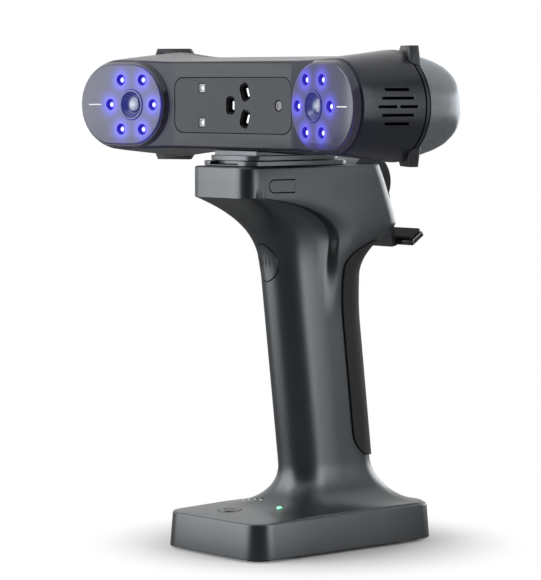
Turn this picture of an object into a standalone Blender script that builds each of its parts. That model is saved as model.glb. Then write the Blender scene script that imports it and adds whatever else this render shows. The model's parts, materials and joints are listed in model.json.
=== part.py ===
"""Hand-held three-d scanner: a scanning head on a battery grip, with a phone holder behind it.

Metres, +Z up. The front faces -Y, and the origin is under the middle of the object's box.
Depths are counted from the plane of the two lamp rings, heights from the base's lower rim.
"""

import math

import bmesh
import bpy

# Clearances shared by the whole object.
GAP = 0.0003
RUNNING_GAP = 0.0006
CUT_OVERRUN = 0.002
SEAT = 0.0002

# Base.
FOOT_PROUD = 0.0015
BASE_HALF_WIDTH = 0.0385
BASE_FRONT = -0.0083
BASE_REAR = 0.1205
BASE_HEIGHT = 0.0182
BASE_CORNER = 0.013
BASE_DRAFT = 0.0014
BASE_CROWN = 0.0010
BASE_EDGE = 0.0010
HANDLE_WALL = 0.0024
COVER_THICK = 0.0020
FOOT_RADIUS = 0.0070
FOOT_INSET = 0.0125
FOOT_THICK = 0.0016
COVER_PILLAR_RADIUS = 0.0032

# Grip.
GRIP_HALF_WIDTH = 0.0152
GRIP_FRONT = 0.0468
GRIP_DEPTH = 0.0544
GRIP_CROWN = 0.0030
GRIP_LEAN_SHARE = 0.120
GRIP_FRONT_CORNER = 0.0148
GRIP_REAR_CORNER = 0.0125
FOOT_FILLET_HEIGHT = 0.0230
FOOT_FILLET_FRONT = 0.0260
FOOT_FILLET_REAR = 0.0164
FOOT_FILLET_SIDE = 0.0203
FRONT_FILLET_POWER = 2.4
SIDE_FILLET_POWER = 2.1
REAR_FILLET_POWER = 1.75
PAD_DEPTH = 0.0175
PAD_OVER_FOOT = 0.0018
PAD_TOP_DEEP = 0.0404
PAD_END = 0.0130
PAD_THICK = 0.0009
PAD_END_SHARE = 0.30

# Cradle, the wide top of the handle.
CRADLE_HALF_WIDTH = 0.0228
CRADLE_FRONT = -0.0020
CRADLE_CORNER = 0.0090
CRADLE_OVER_TRIGGER = 0.0504
CRADLE_DEEP = 0.0158
CRADLE_BACK_DEPTH = 0.0980
CRADLE_SLOPE_SHARE = 0.404
CRADLE_EDGE = 0.0012
FLARE_DEEP = 0.0584
REAR_FLARE_DEEP = 0.0584
BULGE_DEEP = 0.0324
BULGE_SOFT = 0.0030
SIDE_FLARE_DEEP = 0.0834
SIDE_FLARE_TOP_DEEP = 0.0204
CREASE_DEEP = 0.0404
CREASE_DEPTH = 0.0625
CREASE_SOFT = 0.0022
CREASE_FADE = 0.0160
FRONT_FLARE_POWER = 3.4
SIDE_FLARE_POWER = 2.5
CORNER_FLARE_POWER = 3.0

# Trigger button on the grip's front, and its switch.
TRIGGER_OVER_CELLS = 0.0218
TRIGGER_HALF_WIDTH = 0.0072
TRIGGER_HALF_HEIGHT = 0.0096
TRIGGER_TRAVEL = 0.0015
TRIGGER_DEEP = 0.0075
TRIGGER_FLANGE = 0.0010
TRIGGER_PROUD = 0.0003
SWITCH_SIZE = (0.012, 0.006, 0.012)

# Power key and lamps on the base's top.
POWER_PLACE = (-0.0105, 0.0157)
POWER_RADIUS = 0.0062
POWER_TRAVEL = 0.0008
POWER_PROUD = 0.0003
POWER_FLANGE = 0.0010
LAMP_ROW_MIDDLE = (-0.0164, 0.0365)
LAMP_PITCH = 0.0047
LAMP_COUNT = 4
LAMP_RADIUS = 0.0008
CHARGE_LAMP_PLACE = (0.0099, 0.0325)
CHARGE_LAMP_RADIUS = 0.0015
BOARD_THICK = 0.0016
BASE_BOARD_SETBACK = 0.0093
BASE_BOARD_LENGTH = 0.0380
BASE_BOARD_SIDE_ROOM = 0.0075
BASE_BOARD_HEIGHT = 0.0070
CHARGE_SOCKET_SIZE = (0.0090, 0.0080, 0.0034)
CHARGE_SOCKET_HEIGHT = 0.0085
SOCKET_WALL = 0.0004
SOCKET_TONGUE = 0.0006

# Battery cells inside the grip.
CELL_RADIUS = 0.0091
CELL_LENGTH = 0.0650
CELL_OVER_BASE = 0.0418
CELL_PITCH = 0.0188
CELL_TIP_RADIUS = 0.0030
CELL_TIP = 0.0012
CELL_SHELF = 0.0040

# Release tabs in the cradle's sides.
TAB_FRONT = 0.0145
TAB_REAR = 0.0315
TAB_DEEP = 0.0100
TAB_HALF_HEIGHT = 0.0031
TAB_GROOVE = 0.0005
TAB_THICK = 0.0016
TAB_HINGE_GAP = 0.0003

# Plates between the handle and the head.
PLATE_HALF_WIDTH = 0.0205
PLATE_FRONT = 0.0030
PLATE_REAR = 0.0740
PLATE_CORNER = 0.0080
PLATE_THICK = 0.0024
PLATE_LIP = 0.0016
RAIL_HALF_WIDTH = 0.0110
RAIL_HEIGHT = 0.0018
RAIL_UNDERCUT = 0.0016
SHOE_HALF_WIDTH = 0.0185
SHOE_FRONT = 0.0060
SHOE_REAR = 0.0700
SHOE_THICK = 0.0025
RAIL_FRONT = 0.0080
RAIL_REAR = 0.0660
NECK_HALF_WIDTH = 0.0165
NECK_FRONT = 0.0110
NECK_REAR = 0.0660

# Head.
NECK_HEIGHT = 0.0006
HEAD_FRONT = 0.0085
FRONT_RING_SHARES = (0.35, 0.70, 1.0)
RIM_DEPTH = 0.0415
LOBE_PLACE = 0.0840
LOBE_PLACE_FRONT = 0.0868
LOBE_RADIUS_RIM = 0.0280
LOBE_RADIUS_FRONT = 0.0237
WAIST_RIM = 0.0250
WAIST_FRONT = 0.0227
WAIST_HALF_LENGTH = 0.0460
FRONT_EDGE = 0.0018
HEAD_WALL = 0.0022
SEAM = 0.0004
REAR_DEPTH = 0.0760
REAR_DEPTH_SHARES = (0.0, 0.25, 0.45, 0.62, 0.76, 0.86, 0.93, 0.975, 1.0)
REAR_RADIUS_SHARES = (1.0, 0.935, 0.880, 0.830, 0.770, 0.700, 0.625, 0.545, 0.440)
TOE_ANGLE = 9.77
RING_PLACE = 0.0720
RING_RADIUS = 0.0150
BEZEL_RADIUS = 0.0213
BEZEL_FLARE = 0.0016
BEZEL_STRAIGHT = 0.0150
LENS_RADIUS = 0.0080
LENS_WALL = 0.0012
LENS_PROUD = 0.0006
LENS_BORE_DEEP = 0.0120
GLASS_THICK = 0.0012
GLASS_DOME = 0.0012
GLASS_SET_BACK = 0.0022
LED_RADIUS = 0.0022
LED_COUNT = 6
LED_BOARD_RADIUS = 0.0180
POCKET_RADIUS = 0.0188
WINDOW_HALF_WIDTH = 0.0461
WINDOW_HALF_HEIGHT = 0.0142
WINDOW_CORNER = 0.0062
WINDOW_THICK = 0.0012
WINDOW_LEDGE = 0.0022
SLOT_PLACES = ((-0.0010, 0.0), (0.0104, 0.0068), (0.0104, -0.0069))
SLOT_TURNS = (0.0, 20.0, -20.0)
SLOT_HALF_WIDTH = 0.0030
SLOT_HALF_HEIGHT = 0.0042
SLOT_CORNER = 0.0016
SLOT_WALL = 0.0006
SLOT_DEEP = 0.0034
EYE_PLACES = ((-0.0239, 0.0088), (-0.0239, -0.0090))
EYE_HALF_SIDE = 0.0021
DOT_PLACE = (0.0363, 0.0)
DOT_RADIUS = 0.0025
PROJECTOR_HALF_WIDTH = 0.0390
PROJECTOR_HALF_HEIGHT = 0.0110
VENT_HALF_HEIGHT = 0.00075
VENT_PITCH = 0.00415
VENT_SPANS = (((0.0075, 0.0195), (0.0215, 0.0330)), ((0.0103, 0.0307),), ((0.0128, 0.0285),))
BUMPER_PLACE = 0.0920
BUMPER_DEPTH = 0.0460
BUMPER_HALF_LENGTH = 0.0110
BUMPER_HALF_WIDTH = 0.0030
BUMPER_SLANT = 0.0020
BUMPER_LOW = 0.0190
BUMPER_TOP = 0.0300
BUMPER_CORNER = 0.0010
BUMPER_TURN = 30.0
BENCH_DEPTH = 0.0340
BENCH_THICK = 0.0030
BENCH_HALF_WIDTH = 0.0880
BENCH_HALF_HEIGHT = 0.0160
BOSS_PLACE = (0.0520, 0.0130)
BOSS_RADIUS = 0.0034
BOARD_STAND = 0.0040
MAIN_BOARD_HALF_WIDTH = 0.0440
MAIN_BOARD_HALF_HEIGHT = 0.0150
SINK_HALF_WIDTH = 0.0180
SINK_HALF_HEIGHT = 0.0120
SINK_BASE = 0.0020
SINK_FIN_SHARE = 0.47
SINK_FIN_COUNT = 6
SCREW_HEAD_RADIUS = 0.0026
SCREW_HEAD = 0.0018
SCREW_SHANK_RADIUS = 0.0014
SCREW_SIDE = 0.0600
SCREW_RISE = 0.0060
SCREW_POST_RADIUS = 0.0042
SCREW_LEDGE = 0.0030
DATA_SOCKET_PLACE = -0.0275
REAR_BOARD_SETBACK = 0.0100
REAR_BOARD_HALF_WIDTH = 0.0440
REAR_BOARD_HALF_HEIGHT = 0.0075
REAR_BOARD_POST = 0.0400

# Keys on the head's back.
KEY_PITCH = 0.0130
KEY_RADIUS = 0.0046
KEY_TRAVEL = 0.0006
KEY_PROUD = 0.0012
KEY_STEM_RADIUS = 0.0020

# Phone holder behind the cradle.
DRUM_INSET = 0.0030
DRUM_DEEP = 0.0098
DRUM_RADIUS = 0.0150
DRUM_HALF_WIDTH = 0.0115
YOKE_HALF_WIDTH = 0.0160
YOKE_DEEP = 0.0284
PIN_RADIUS = 0.0025
PIN_CLEARANCE = 0.0001
HOLDER_LEAN = 12.0
STEM_HALF_WIDTH = 0.0080
STEM_THICK = 0.0036
JAW_HALF_LENGTH = 0.0200
JAW_BEHIND = 0.0220
JAW_BELOW = 0.0298
JAW_THICK = 0.0046
JAW_REACH = 0.0086
JAW_RISE = 21.5
JAW_PAD_THICK = 0.0014
JAW_GAP = 0.0600
STEM_LOW = -0.0385
STEM_HIGH = 0.0220
TONGUE_HALF_WIDTH = 0.0050
TONGUE_LENGTH = 0.0380
TONGUE_THICK = 0.0016

ARC_STEPS = 8
ROUND_STEPS = 24
SMALL_ROUND_STEPS = 12
GRIP_STEPS = 4
FLARE_STEPS = 18
FILLET_STEPS = 7
PAD_POINTS = 8
SEARCH_STEPS = 30
SHARP_ANGLE = 35.0

COLOURS = {
    "shell": ((0.055, 0.060, 0.068), 0.42, 0.35),
    "rear": ((0.150, 0.160, 0.175), 0.40, 0.45),
    "gloss": ((0.050, 0.050, 0.075), 0.12, 0.10),
    "rubber": ((0.020, 0.020, 0.022), 0.80, 0.00),
    "lens": ((0.020, 0.030, 0.140), 0.08, 0.00),
    "lamp": ((0.150, 0.180, 0.950), 0.25, 0.00),
    "white_lamp": ((0.850, 0.870, 0.880), 0.30, 0.00),
    "green_lamp": ((0.200, 0.850, 0.450), 0.30, 0.00),
    "board": ((0.020, 0.120, 0.060), 0.50, 0.00),
    "metal": ((0.560, 0.570, 0.580), 0.30, 1.00),
    "cell": ((0.060, 0.180, 0.420), 0.45, 0.00),
    "black": ((0.018, 0.018, 0.020), 0.45, 0.00),
}

JAW_TILT = math.radians(HOLDER_LEAN + JAW_RISE)
CELL_LOW = BASE_HEIGHT + CELL_OVER_BASE
TRIGGER_HEIGHT = CELL_LOW + CELL_LENGTH + CELL_TIP + TRIGGER_OVER_CELLS
CRADLE_TOP = TRIGGER_HEIGHT + CRADLE_OVER_TRIGGER
CRADLE_LOW = CRADLE_TOP - CRADLE_DEEP
FLARE_LOW = CRADLE_TOP - FLARE_DEEP
REAR_FLARE_LOW = CRADLE_TOP - REAR_FLARE_DEEP
REAR_BULGE = CRADLE_TOP - BULGE_DEEP
SIDE_FLARE_LOW = CRADLE_TOP - SIDE_FLARE_DEEP
SIDE_FLARE_HIGH = CRADLE_TOP - SIDE_FLARE_TOP_DEEP
CREASE_LOW = CRADLE_TOP - CREASE_DEEP
PAD_HIGH = CRADLE_TOP - PAD_TOP_DEEP
TAB_HEIGHT = CRADLE_TOP - TAB_DEEP
YOKE_LOW = CRADLE_TOP - YOKE_DEEP
DRUM_DEPTH = CRADLE_BACK_DEPTH - DRUM_INSET
DRUM_HEIGHT = CRADLE_TOP - DRUM_DEEP
JAW_DEPTH = DRUM_DEPTH + JAW_BEHIND
SHOE_LOW = CRADLE_TOP + 2 * GAP + PLATE_THICK
HEAD_HEIGHT = SHOE_LOW + SHOE_THICK + NECK_HEIGHT + WAIST_RIM
REAR_BOARD_DEPTH = REAR_DEPTH - REAR_BOARD_SETBACK
BASE_BOARD_FRONT = BASE_FRONT + BASE_BOARD_SETBACK
BASE_BOARD_REAR = BASE_BOARD_FRONT + BASE_BOARD_LENGTH
BASE_BOARD_HALF_WIDTH = BASE_HALF_WIDTH - BASE_BOARD_SIDE_ROOM
REAR_MOST = JAW_DEPTH + JAW_REACH * math.cos(JAW_TILT) + JAW_THICK * math.sin(JAW_TILT)
MIDDLE_DEPTH = (BASE_FRONT + REAR_MOST) / 2
TOE = math.radians(TOE_ANGLE)
FOOT_LOW = BASE_HEIGHT + BASE_CROWN
PAD_LOW = FOOT_LOW + FOOT_FILLET_HEIGHT + PAD_OVER_FOOT
WING_SEAT = (HEAD_FRONT - (RING_PLACE - WAIST_HALF_LENGTH) * math.tan(TOE)) * math.cos(TOE)


# Modelling helpers.

def clear_scene():
    for obj in list(bpy.data.objects):
        bpy.data.objects.remove(obj, do_unlink=True)


def make_material(name, colour, roughness, metallic):
    material = bpy.data.materials.new(name)
    material.use_nodes = True
    shader = material.node_tree.nodes["Principled BSDF"]
    shader.inputs["Base Color"].default_value = (*colour, 1.0)
    shader.inputs["Roughness"].default_value = roughness
    shader.inputs["Metallic"].default_value = metallic
    material.diffuse_color = (*colour, 1.0)
    return material


def make_empty(name, parent, at=(0.0, 0.0, 0.0), turn=(0.0, 0.0, 0.0)):
    empty = bpy.data.objects.new(name, None)
    bpy.context.scene.collection.objects.link(empty)
    empty.parent = parent
    empty.location = at
    empty.rotation_euler = turn
    return empty


def finish(name, bm, colour, parent, at=(0.0, 0.0, 0.0), turn=(0.0, 0.0, 0.0)):
    """Turns a bmesh into a named object with its material, under its parent."""
    bmesh.ops.recalc_face_normals(bm, faces=bm.faces)
    mesh = bpy.data.meshes.new(name)
    bm.to_mesh(mesh)
    bm.free()
    obj = bpy.data.objects.new(name, mesh)
    bpy.context.scene.collection.objects.link(obj)
    obj.parent = parent
    obj.location = at
    obj.rotation_euler = turn
    if colour:
        mesh.materials.append(MATERIALS[colour])
    mesh.shade_smooth()
    mesh.set_sharp_from_angle(angle=math.radians(SHARP_ANGLE))
    return obj


def combine(obj, tool, operation):
    """Keeps tool as a hidden helper that cuts, joins or trims obj."""
    tool.hide_render = True
    tool.display_type = "WIRE"
    modifier = obj.modifiers.new(operation.lower(), "BOOLEAN")
    modifier.operation = operation
    modifier.solver = "EXACT"
    modifier.object = tool
    return obj


def cut(obj, tool):
    return combine(obj, tool, "DIFFERENCE")


def join(obj, tool):
    return combine(obj, tool, "UNION")


def smooth_share(value):
    value = min(1.0, max(0.0, value))
    return value * value * (3.0 - 2.0 * value)


def mix(first, second, share):
    return first + (second - first) * share


def loft(rings, cap_first=True, cap_last=True, closed=False):
    """Skins rings of equal length, in order. Closed joins the last ring to the first."""
    bm = bmesh.new()
    rows = [[bm.verts.new(point) for point in ring] for ring in rings]
    pairs = list(zip(rows, rows[1:]))
    if closed:
        pairs.append((rows[-1], rows[0]))
    for low, high in pairs:
        for i in range(len(low)):
            j = (i + 1) % len(low)
            bm.faces.new((low[i], low[j], high[j], high[i]))
    if cap_first and not closed:
        bm.faces.new(rows[0][::-1])
    if cap_last and not closed:
        bm.faces.new(rows[-1])
    return bm


def box_mesh(low, high):
    """A box between two corners."""
    bm = bmesh.new()
    size = [b - a for a, b in zip(low, high)]
    middle = [(a + b) / 2 for a, b in zip(low, high)]
    bmesh.ops.create_cube(bm, size=1.0)
    bmesh.ops.scale(bm, vec=size, verts=bm.verts)
    bmesh.ops.translate(bm, vec=middle, verts=bm.verts)
    return bm


def round_mesh(profile, axis, steps=ROUND_STEPS, at=(0.0, 0.0, 0.0)):
    """A solid turned about an axis from (distance along it, radius) pairs."""
    rings = []
    for along, radius in profile:
        ring = []
        for k in range(steps):
            angle = math.tau * k / steps
            across = (radius * math.cos(angle), radius * math.sin(angle))
            point = {
                "X": (along, across[0], across[1]),
                "Y": (across[1], along, across[0]),
                "Z": (across[0], across[1], along),
            }[axis]
            ring.append([p + q for p, q in zip(point, at)])
        rings.append(ring)
    return loft(rings)


def tube_mesh(profile, axis, steps=ROUND_STEPS, at=(0.0, 0.0, 0.0)):
    """As round_mesh, for a closed profile that goes round a hole along the axis."""
    solid = round_mesh(profile, axis, steps, at)
    caps = [face for face in solid.faces if len(face.verts) == steps]
    bmesh.ops.delete(solid, geom=caps, context="FACES_ONLY")
    solid.verts.ensure_lookup_table()
    last = (len(profile) - 1) * steps
    for k in range(steps):
        j = (k + 1) % steps
        solid.faces.new((solid.verts[last + k], solid.verts[last + j], solid.verts[j],
                         solid.verts[k]))
    return solid


def rounded_rectangle(half_width, half_height, corner, steps=4):
    """Points of a rounded rectangle round the origin, anticlockwise."""
    points = []
    for quarter, (sx, sy) in enumerate(((1, 1), (-1, 1), (-1, -1), (1, -1))):
        for k in range(steps + 1):
            angle = math.pi / 2 * (quarter + k / steps)
            points.append((sx * (half_width - corner) + corner * math.cos(angle),
                           sy * (half_height - corner) + corner * math.sin(angle)))
    return points


def slab(outline, low, high, axis):
    """Extrudes an outline of (first, second) points along Y or Z."""
    if axis == "Y":
        return loft([[(a, y, b) for a, b in outline] for y in (low, high)])
    return loft([[(a, b, z) for a, b in outline] for z in (low, high)])


def shifted(outline, across, up):
    return [(a + across, b + up) for a, b in outline]


# The handle's form: one run of sections from the base through the grip to the cradle.

def grip_front(height):
    return GRIP_FRONT - GRIP_LEAN_SHARE * (height - BASE_HEIGHT)


def fillet_share(below, power):
    return 1.0 - (1.0 - below ** power) ** (1.0 / power)


def handle_section(height):
    """Front, rear, half-widths before and behind the crease, corners, crease depth and width, crown."""
    front = grip_front(height)
    rear = front + GRIP_DEPTH
    narrow = wide = GRIP_HALF_WIDTH
    crease = CREASE_DEPTH
    front_corner, rear_corner = GRIP_FRONT_CORNER, GRIP_REAR_CORNER
    below = min(1.0, max(0.0, 1.0 - (height - FOOT_LOW) / FOOT_FILLET_HEIGHT))
    front -= FOOT_FILLET_FRONT * fillet_share(below, FRONT_FILLET_POWER)
    rear += FOOT_FILLET_REAR * fillet_share(below, REAR_FILLET_POWER)
    narrow += FOOT_FILLET_SIDE * fillet_share(below, SIDE_FILLET_POWER)
    wide = narrow
    above = smooth_share((CRADLE_LOW - height) / (CRADLE_LOW - FLARE_LOW))
    crown = GRIP_CROWN * smooth_share(1.0 - below) * above
    if height > FLARE_LOW:
        share = min(1.0, (height - FLARE_LOW) / (CRADLE_LOW - FLARE_LOW))
        front = mix(grip_front(height), CRADLE_FRONT, share ** FRONT_FLARE_POWER)
        narrow = mix(GRIP_HALF_WIDTH, CRADLE_HALF_WIDTH, share ** SIDE_FLARE_POWER)
        front_corner = mix(GRIP_FRONT_CORNER, CRADLE_CORNER, share ** CORNER_FLARE_POWER)
    if height > REAR_FLARE_LOW:
        share = (height - REAR_FLARE_LOW) / (REAR_BULGE - REAR_FLARE_LOW)
        furthest = CRADLE_BACK_DEPTH + CRADLE_SLOPE_SHARE * (CRADLE_TOP - REAR_BULGE)
        flared = mix(rear, furthest, share * share)
        sloped = CRADLE_BACK_DEPTH + CRADLE_SLOPE_SHARE * (CRADLE_TOP - height)
        near = max(0.0, 1.0 - abs(flared - sloped) / BULGE_SOFT)
        rear = min(flared, sloped) - near * near * BULGE_SOFT / 4
    if height > SIDE_FLARE_LOW:
        share = (height - SIDE_FLARE_LOW) / (SIDE_FLARE_HIGH - SIDE_FLARE_LOW)
        wide = max(narrow, mix(GRIP_HALF_WIDTH, CRADLE_HALF_WIDTH, smooth_share(share)))
    if height > CREASE_LOW:
        share = min(1.0, (height - CREASE_LOW) / (CRADLE_LOW - CREASE_LOW))
        crease = mix(CRADLE_FRONT, CREASE_DEPTH, math.sqrt(1.0 - share * share))
    soft = mix(CREASE_SOFT, CREASE_FADE, smooth_share((CREASE_LOW - height) / (CREASE_LOW - SIDE_FLARE_LOW)))
    return front, rear, narrow, wide, front_corner, rear_corner, crease, soft, crown


def crowned(points, front, rear, widest, crown):
    """Draws in the front half of an outline of (x, y) points, most at its tip."""
    middle, reach = (front + rear) / 2, (rear - front) / 2
    return [(x * (1.0 - crown / widest * (max(0.0, middle - y) / reach) ** 2), y) for x, y in points]


def section_ring(section, height, inset=0.0, detail=1):
    """One closed ring of (x, y, z) points, front middle first, round by +X."""
    front, rear, narrow, wide, front_corner, rear_corner, crease, soft, crown = section
    front, rear = front + inset, rear - inset
    narrow, wide = narrow - inset, wide - inset
    front_corner = max(min(front_corner - inset, narrow - GAP), GAP)
    rear_corner = max(min(rear_corner - inset, wide - GAP), GAP)
    low = front + front_corner
    high = rear - rear_corner
    soft = min(soft, (high - low) / 3)
    step = min(max(crease, low + soft), high - soft)
    half = [(0.0, front), ((narrow - front_corner) / 2, front)]
    arc = 4 * detail
    for k in range(arc + 1):
        angle = math.pi / 2 * k / arc
        half.append((narrow - front_corner + front_corner * math.sin(angle),
                     low - front_corner * math.cos(angle)))
    half.append((narrow, (low + step - soft / 2) / 2))
    across = 3 * detail
    for k in range(across + 1):
        share = k / across
        half.append((mix(narrow, wide, smooth_share(share)), step + soft * (share - 1 / 2)))
    half.append((wide, (high + step + soft / 2) / 2))
    for k in range(arc + 1):
        angle = math.pi / 2 * k / arc
        half.append((wide - rear_corner + rear_corner * math.cos(angle),
                     high + rear_corner * math.sin(angle)))
    half.append(((wide - rear_corner) / 2, rear))
    half.append((0.0, rear))
    half = crowned(half, front, rear, narrow, crown)
    mirrored = [(-x, y) for x, y in half[-2:0:-1]]
    return [(x, y, height) for x, y in half + mirrored]


def base_section(inset):
    return (BASE_FRONT + inset, BASE_REAR - inset, BASE_HALF_WIDTH - inset,
            BASE_HALF_WIDTH - inset, BASE_CORNER - inset, BASE_CORNER - inset,
            (BASE_FRONT + BASE_REAR) / 2, CREASE_SOFT, 0.0)


def shares(first, last, count):
    return [mix(first, last, k / count) for k in range(count + 1)]


def handle_heights():
    fillet = [FOOT_LOW + FOOT_FILLET_HEIGHT * (1.0 - math.cos(math.pi / 2 * k / FILLET_STEPS))
              for k in range(FILLET_STEPS + 1)]
    grip = shares(fillet[-1], SIDE_FLARE_LOW, GRIP_STEPS)[1:]
    flare = shares(SIDE_FLARE_LOW, CRADLE_LOW, FLARE_STEPS)[1:]
    return fillet + grip + flare


def handle_outer_rings(inset=0.0, detail=1):
    rings = [section_ring(base_section(inset), 0.0, 0.0, detail)]
    low_edge = BASE_HEIGHT - BASE_EDGE
    rings.append(section_ring(base_section(inset + BASE_DRAFT), low_edge, 0.0, detail))
    rings.append(section_ring(base_section(inset + BASE_DRAFT + BASE_EDGE / 3),
                              low_edge + BASE_EDGE * 2 / 3, 0.0, detail))
    rings.append(section_ring(base_section(inset + BASE_DRAFT + BASE_EDGE), BASE_HEIGHT, 0.0, detail))
    rings += [section_ring(handle_section(z), z, inset, detail) for z in handle_heights()]
    top = CRADLE_TOP - CRADLE_EDGE
    for z in ((CRADLE_LOW + top) / 2, top):
        rings.append(section_ring(handle_section(z), z, inset, detail))
    rings.append(section_ring(handle_section(CRADLE_TOP), CRADLE_TOP - CRADLE_EDGE / 3,
                              inset + CRADLE_EDGE / 3, detail))
    rings.append(section_ring(handle_section(CRADLE_TOP), CRADLE_TOP, inset + CRADLE_EDGE, detail))
    return rings


def handle_inner_rings():
    """The hollow, from its ceiling in the cradle down to the opening under the base."""
    top = CRADLE_TOP - HANDLE_WALL
    rings = [section_ring(handle_section(z), z, HANDLE_WALL)
             for z in (top, CRADLE_LOW + HANDLE_WALL)]
    for z in shares(CRADLE_LOW, FLARE_LOW, FLARE_STEPS // 2)[1:]:
        rings.append(section_ring(handle_section(z), z + HANDLE_WALL, HANDLE_WALL))
    foot = FOOT_LOW + FOOT_FILLET_HEIGHT
    for z in shares(FLARE_LOW - HANDLE_WALL, foot, GRIP_STEPS // 2):
        rings.append(section_ring(handle_section(z), z, HANDLE_WALL))
    for z in shares(foot, FOOT_LOW, FILLET_STEPS // 2)[1:]:
        rings.append(section_ring(handle_section(z), z - HANDLE_WALL, HANDLE_WALL / 2))
    ceiling = BASE_HEIGHT - HANDLE_WALL - BASE_EDGE
    rings.append(section_ring(base_section(HANDLE_WALL + BASE_DRAFT), ceiling))
    rings.append(section_ring(base_section(HANDLE_WALL), 0.0))
    return rings


# The head's form: stadium sections that bend back at the wings.

def head_outline(radius, waist, lobe):
    """(x, z) points round the head, from the right end anticlockwise."""
    quarter = []
    for k in range(ARC_STEPS + 1):
        angle = math.pi / 2 * k / ARC_STEPS
        quarter.append((lobe + radius * math.cos(angle), radius * math.sin(angle)))
    ramp = ARC_STEPS // 2
    for k in range(1, ramp + 1):
        share = 1.0 - k / ramp
        quarter.append((mix(WAIST_HALF_LENGTH, lobe, share),
                        mix(waist, radius, smooth_share(share))))
    left = [(-x, z) for x, z in reversed(quarter)]
    top = quarter + left
    return top + [(x, -z) for x, z in reversed(top[1:-1])]


def wing_depth(x):
    return HEAD_FRONT - max(0.0, abs(x) - WAIST_HALF_LENGTH) * math.tan(TOE)


def front_ring(share, inset, push=0.0):
    """A section of the front form: share 0 is its face and 1 is the rim."""
    outline = head_outline(mix(LOBE_RADIUS_FRONT, LOBE_RADIUS_RIM, share) - inset,
                           mix(WAIST_FRONT, WAIST_RIM, share) - inset,
                           mix(LOBE_PLACE_FRONT, LOBE_PLACE, share))
    return [(x, mix(wing_depth(x), RIM_DEPTH, share) + push, z) for x, z in outline]


def rear_ring(depth_share, radius_share, inset, push=0.0):
    radius = LOBE_RADIUS_RIM * radius_share
    waist = WAIST_RIM - (LOBE_RADIUS_RIM - radius)
    depth = mix(RIM_DEPTH + SEAM, REAR_DEPTH, depth_share) + push
    return [(x, depth, z) for x, z in head_outline(radius - inset, waist - inset, LOBE_PLACE)]


def skin(rings, strip_first=True, strip_last=True):
    """Skins head sections, and closes an end with strips between its top and bottom points."""
    bm = loft(rings, False, False)
    count = len(rings[0])
    bm.verts.ensure_lookup_table()
    for start, wanted in ((0, strip_first), ((len(rings) - 1) * count, strip_last)):
        if not wanted:
            continue
        for i in range(count // 2):
            around = (i, i + 1, count - i - 1, (count - i) % count)
            corners = []
            for k in around:
                vert = bm.verts[start + k]
                if vert not in corners:
                    corners.append(vert)
            bm.faces.new(corners)
    return bm


def head_form(grow):
    """The head's whole outside as one closed form, grown by a clearance."""
    rings = [front_ring(0.0, -grow, -grow), front_ring(0.5, -grow), front_ring(1.0, -grow)]
    rings += [rear_ring(d, r, -grow) for d, r in zip(REAR_DEPTH_SHARES, REAR_RADIUS_SHARES)]
    rings.append(rear_ring(1.0, REAR_RADIUS_SHARES[-1], -grow, grow))
    return skin(rings)


def vent_cutters(head):
    """One helper for the slots in each end of the front shell."""
    bm = bmesh.new()
    inner = LOBE_PLACE + LOBE_RADIUS_FRONT - 3 * HEAD_WALL
    outer = LOBE_PLACE + LOBE_RADIUS_RIM + CUT_OVERRUN
    for side in (-1, 1):
        near, far = sorted((side * inner, side * outer))
        for row in range(1 - len(VENT_SPANS), len(VENT_SPANS)):
            middle = row * VENT_PITCH
            for front, rear in VENT_SPANS[abs(row)]:
                merge_into(bm, box_mesh((near, front, middle - VENT_HALF_HEIGHT),
                                        (far, rear, middle + VENT_HALF_HEIGHT)))
    return finish("vent_cutters", bm, None, head)


def merge_into(bm, other):
    """Copies another bmesh's faces into bm, and frees it."""
    mesh = bpy.data.meshes.new("scratch")
    other.to_mesh(mesh)
    other.free()
    bm.from_mesh(mesh)
    bpy.data.meshes.remove(mesh)


def module_turn(side):
    return (0.0, 0.0, -side * TOE)


def ring_places():
    return [(RING_RADIUS * math.cos(math.tau * k / LED_COUNT),
             RING_RADIUS * math.sin(math.tau * k / LED_COUNT)) for k in range(LED_COUNT)]


def bezel_outline(grow, side):
    """A stadium round the lamp ring that runs on towards the head's end."""
    points = []
    radius = BEZEL_RADIUS + grow
    for k in range(ROUND_STEPS // 2 + 1):
        angle = math.pi / 2 + math.pi * k / (ROUND_STEPS // 2)
        points.append((radius * math.cos(angle), radius * math.sin(angle)))
    for k in range(ROUND_STEPS // 2 + 1):
        angle = -math.pi / 2 + math.pi * k / (ROUND_STEPS // 2)
        points.append((BEZEL_STRAIGHT + radius * math.cos(angle), radius * math.sin(angle)))
    return [(side * x, z) for x, z in points]


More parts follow.
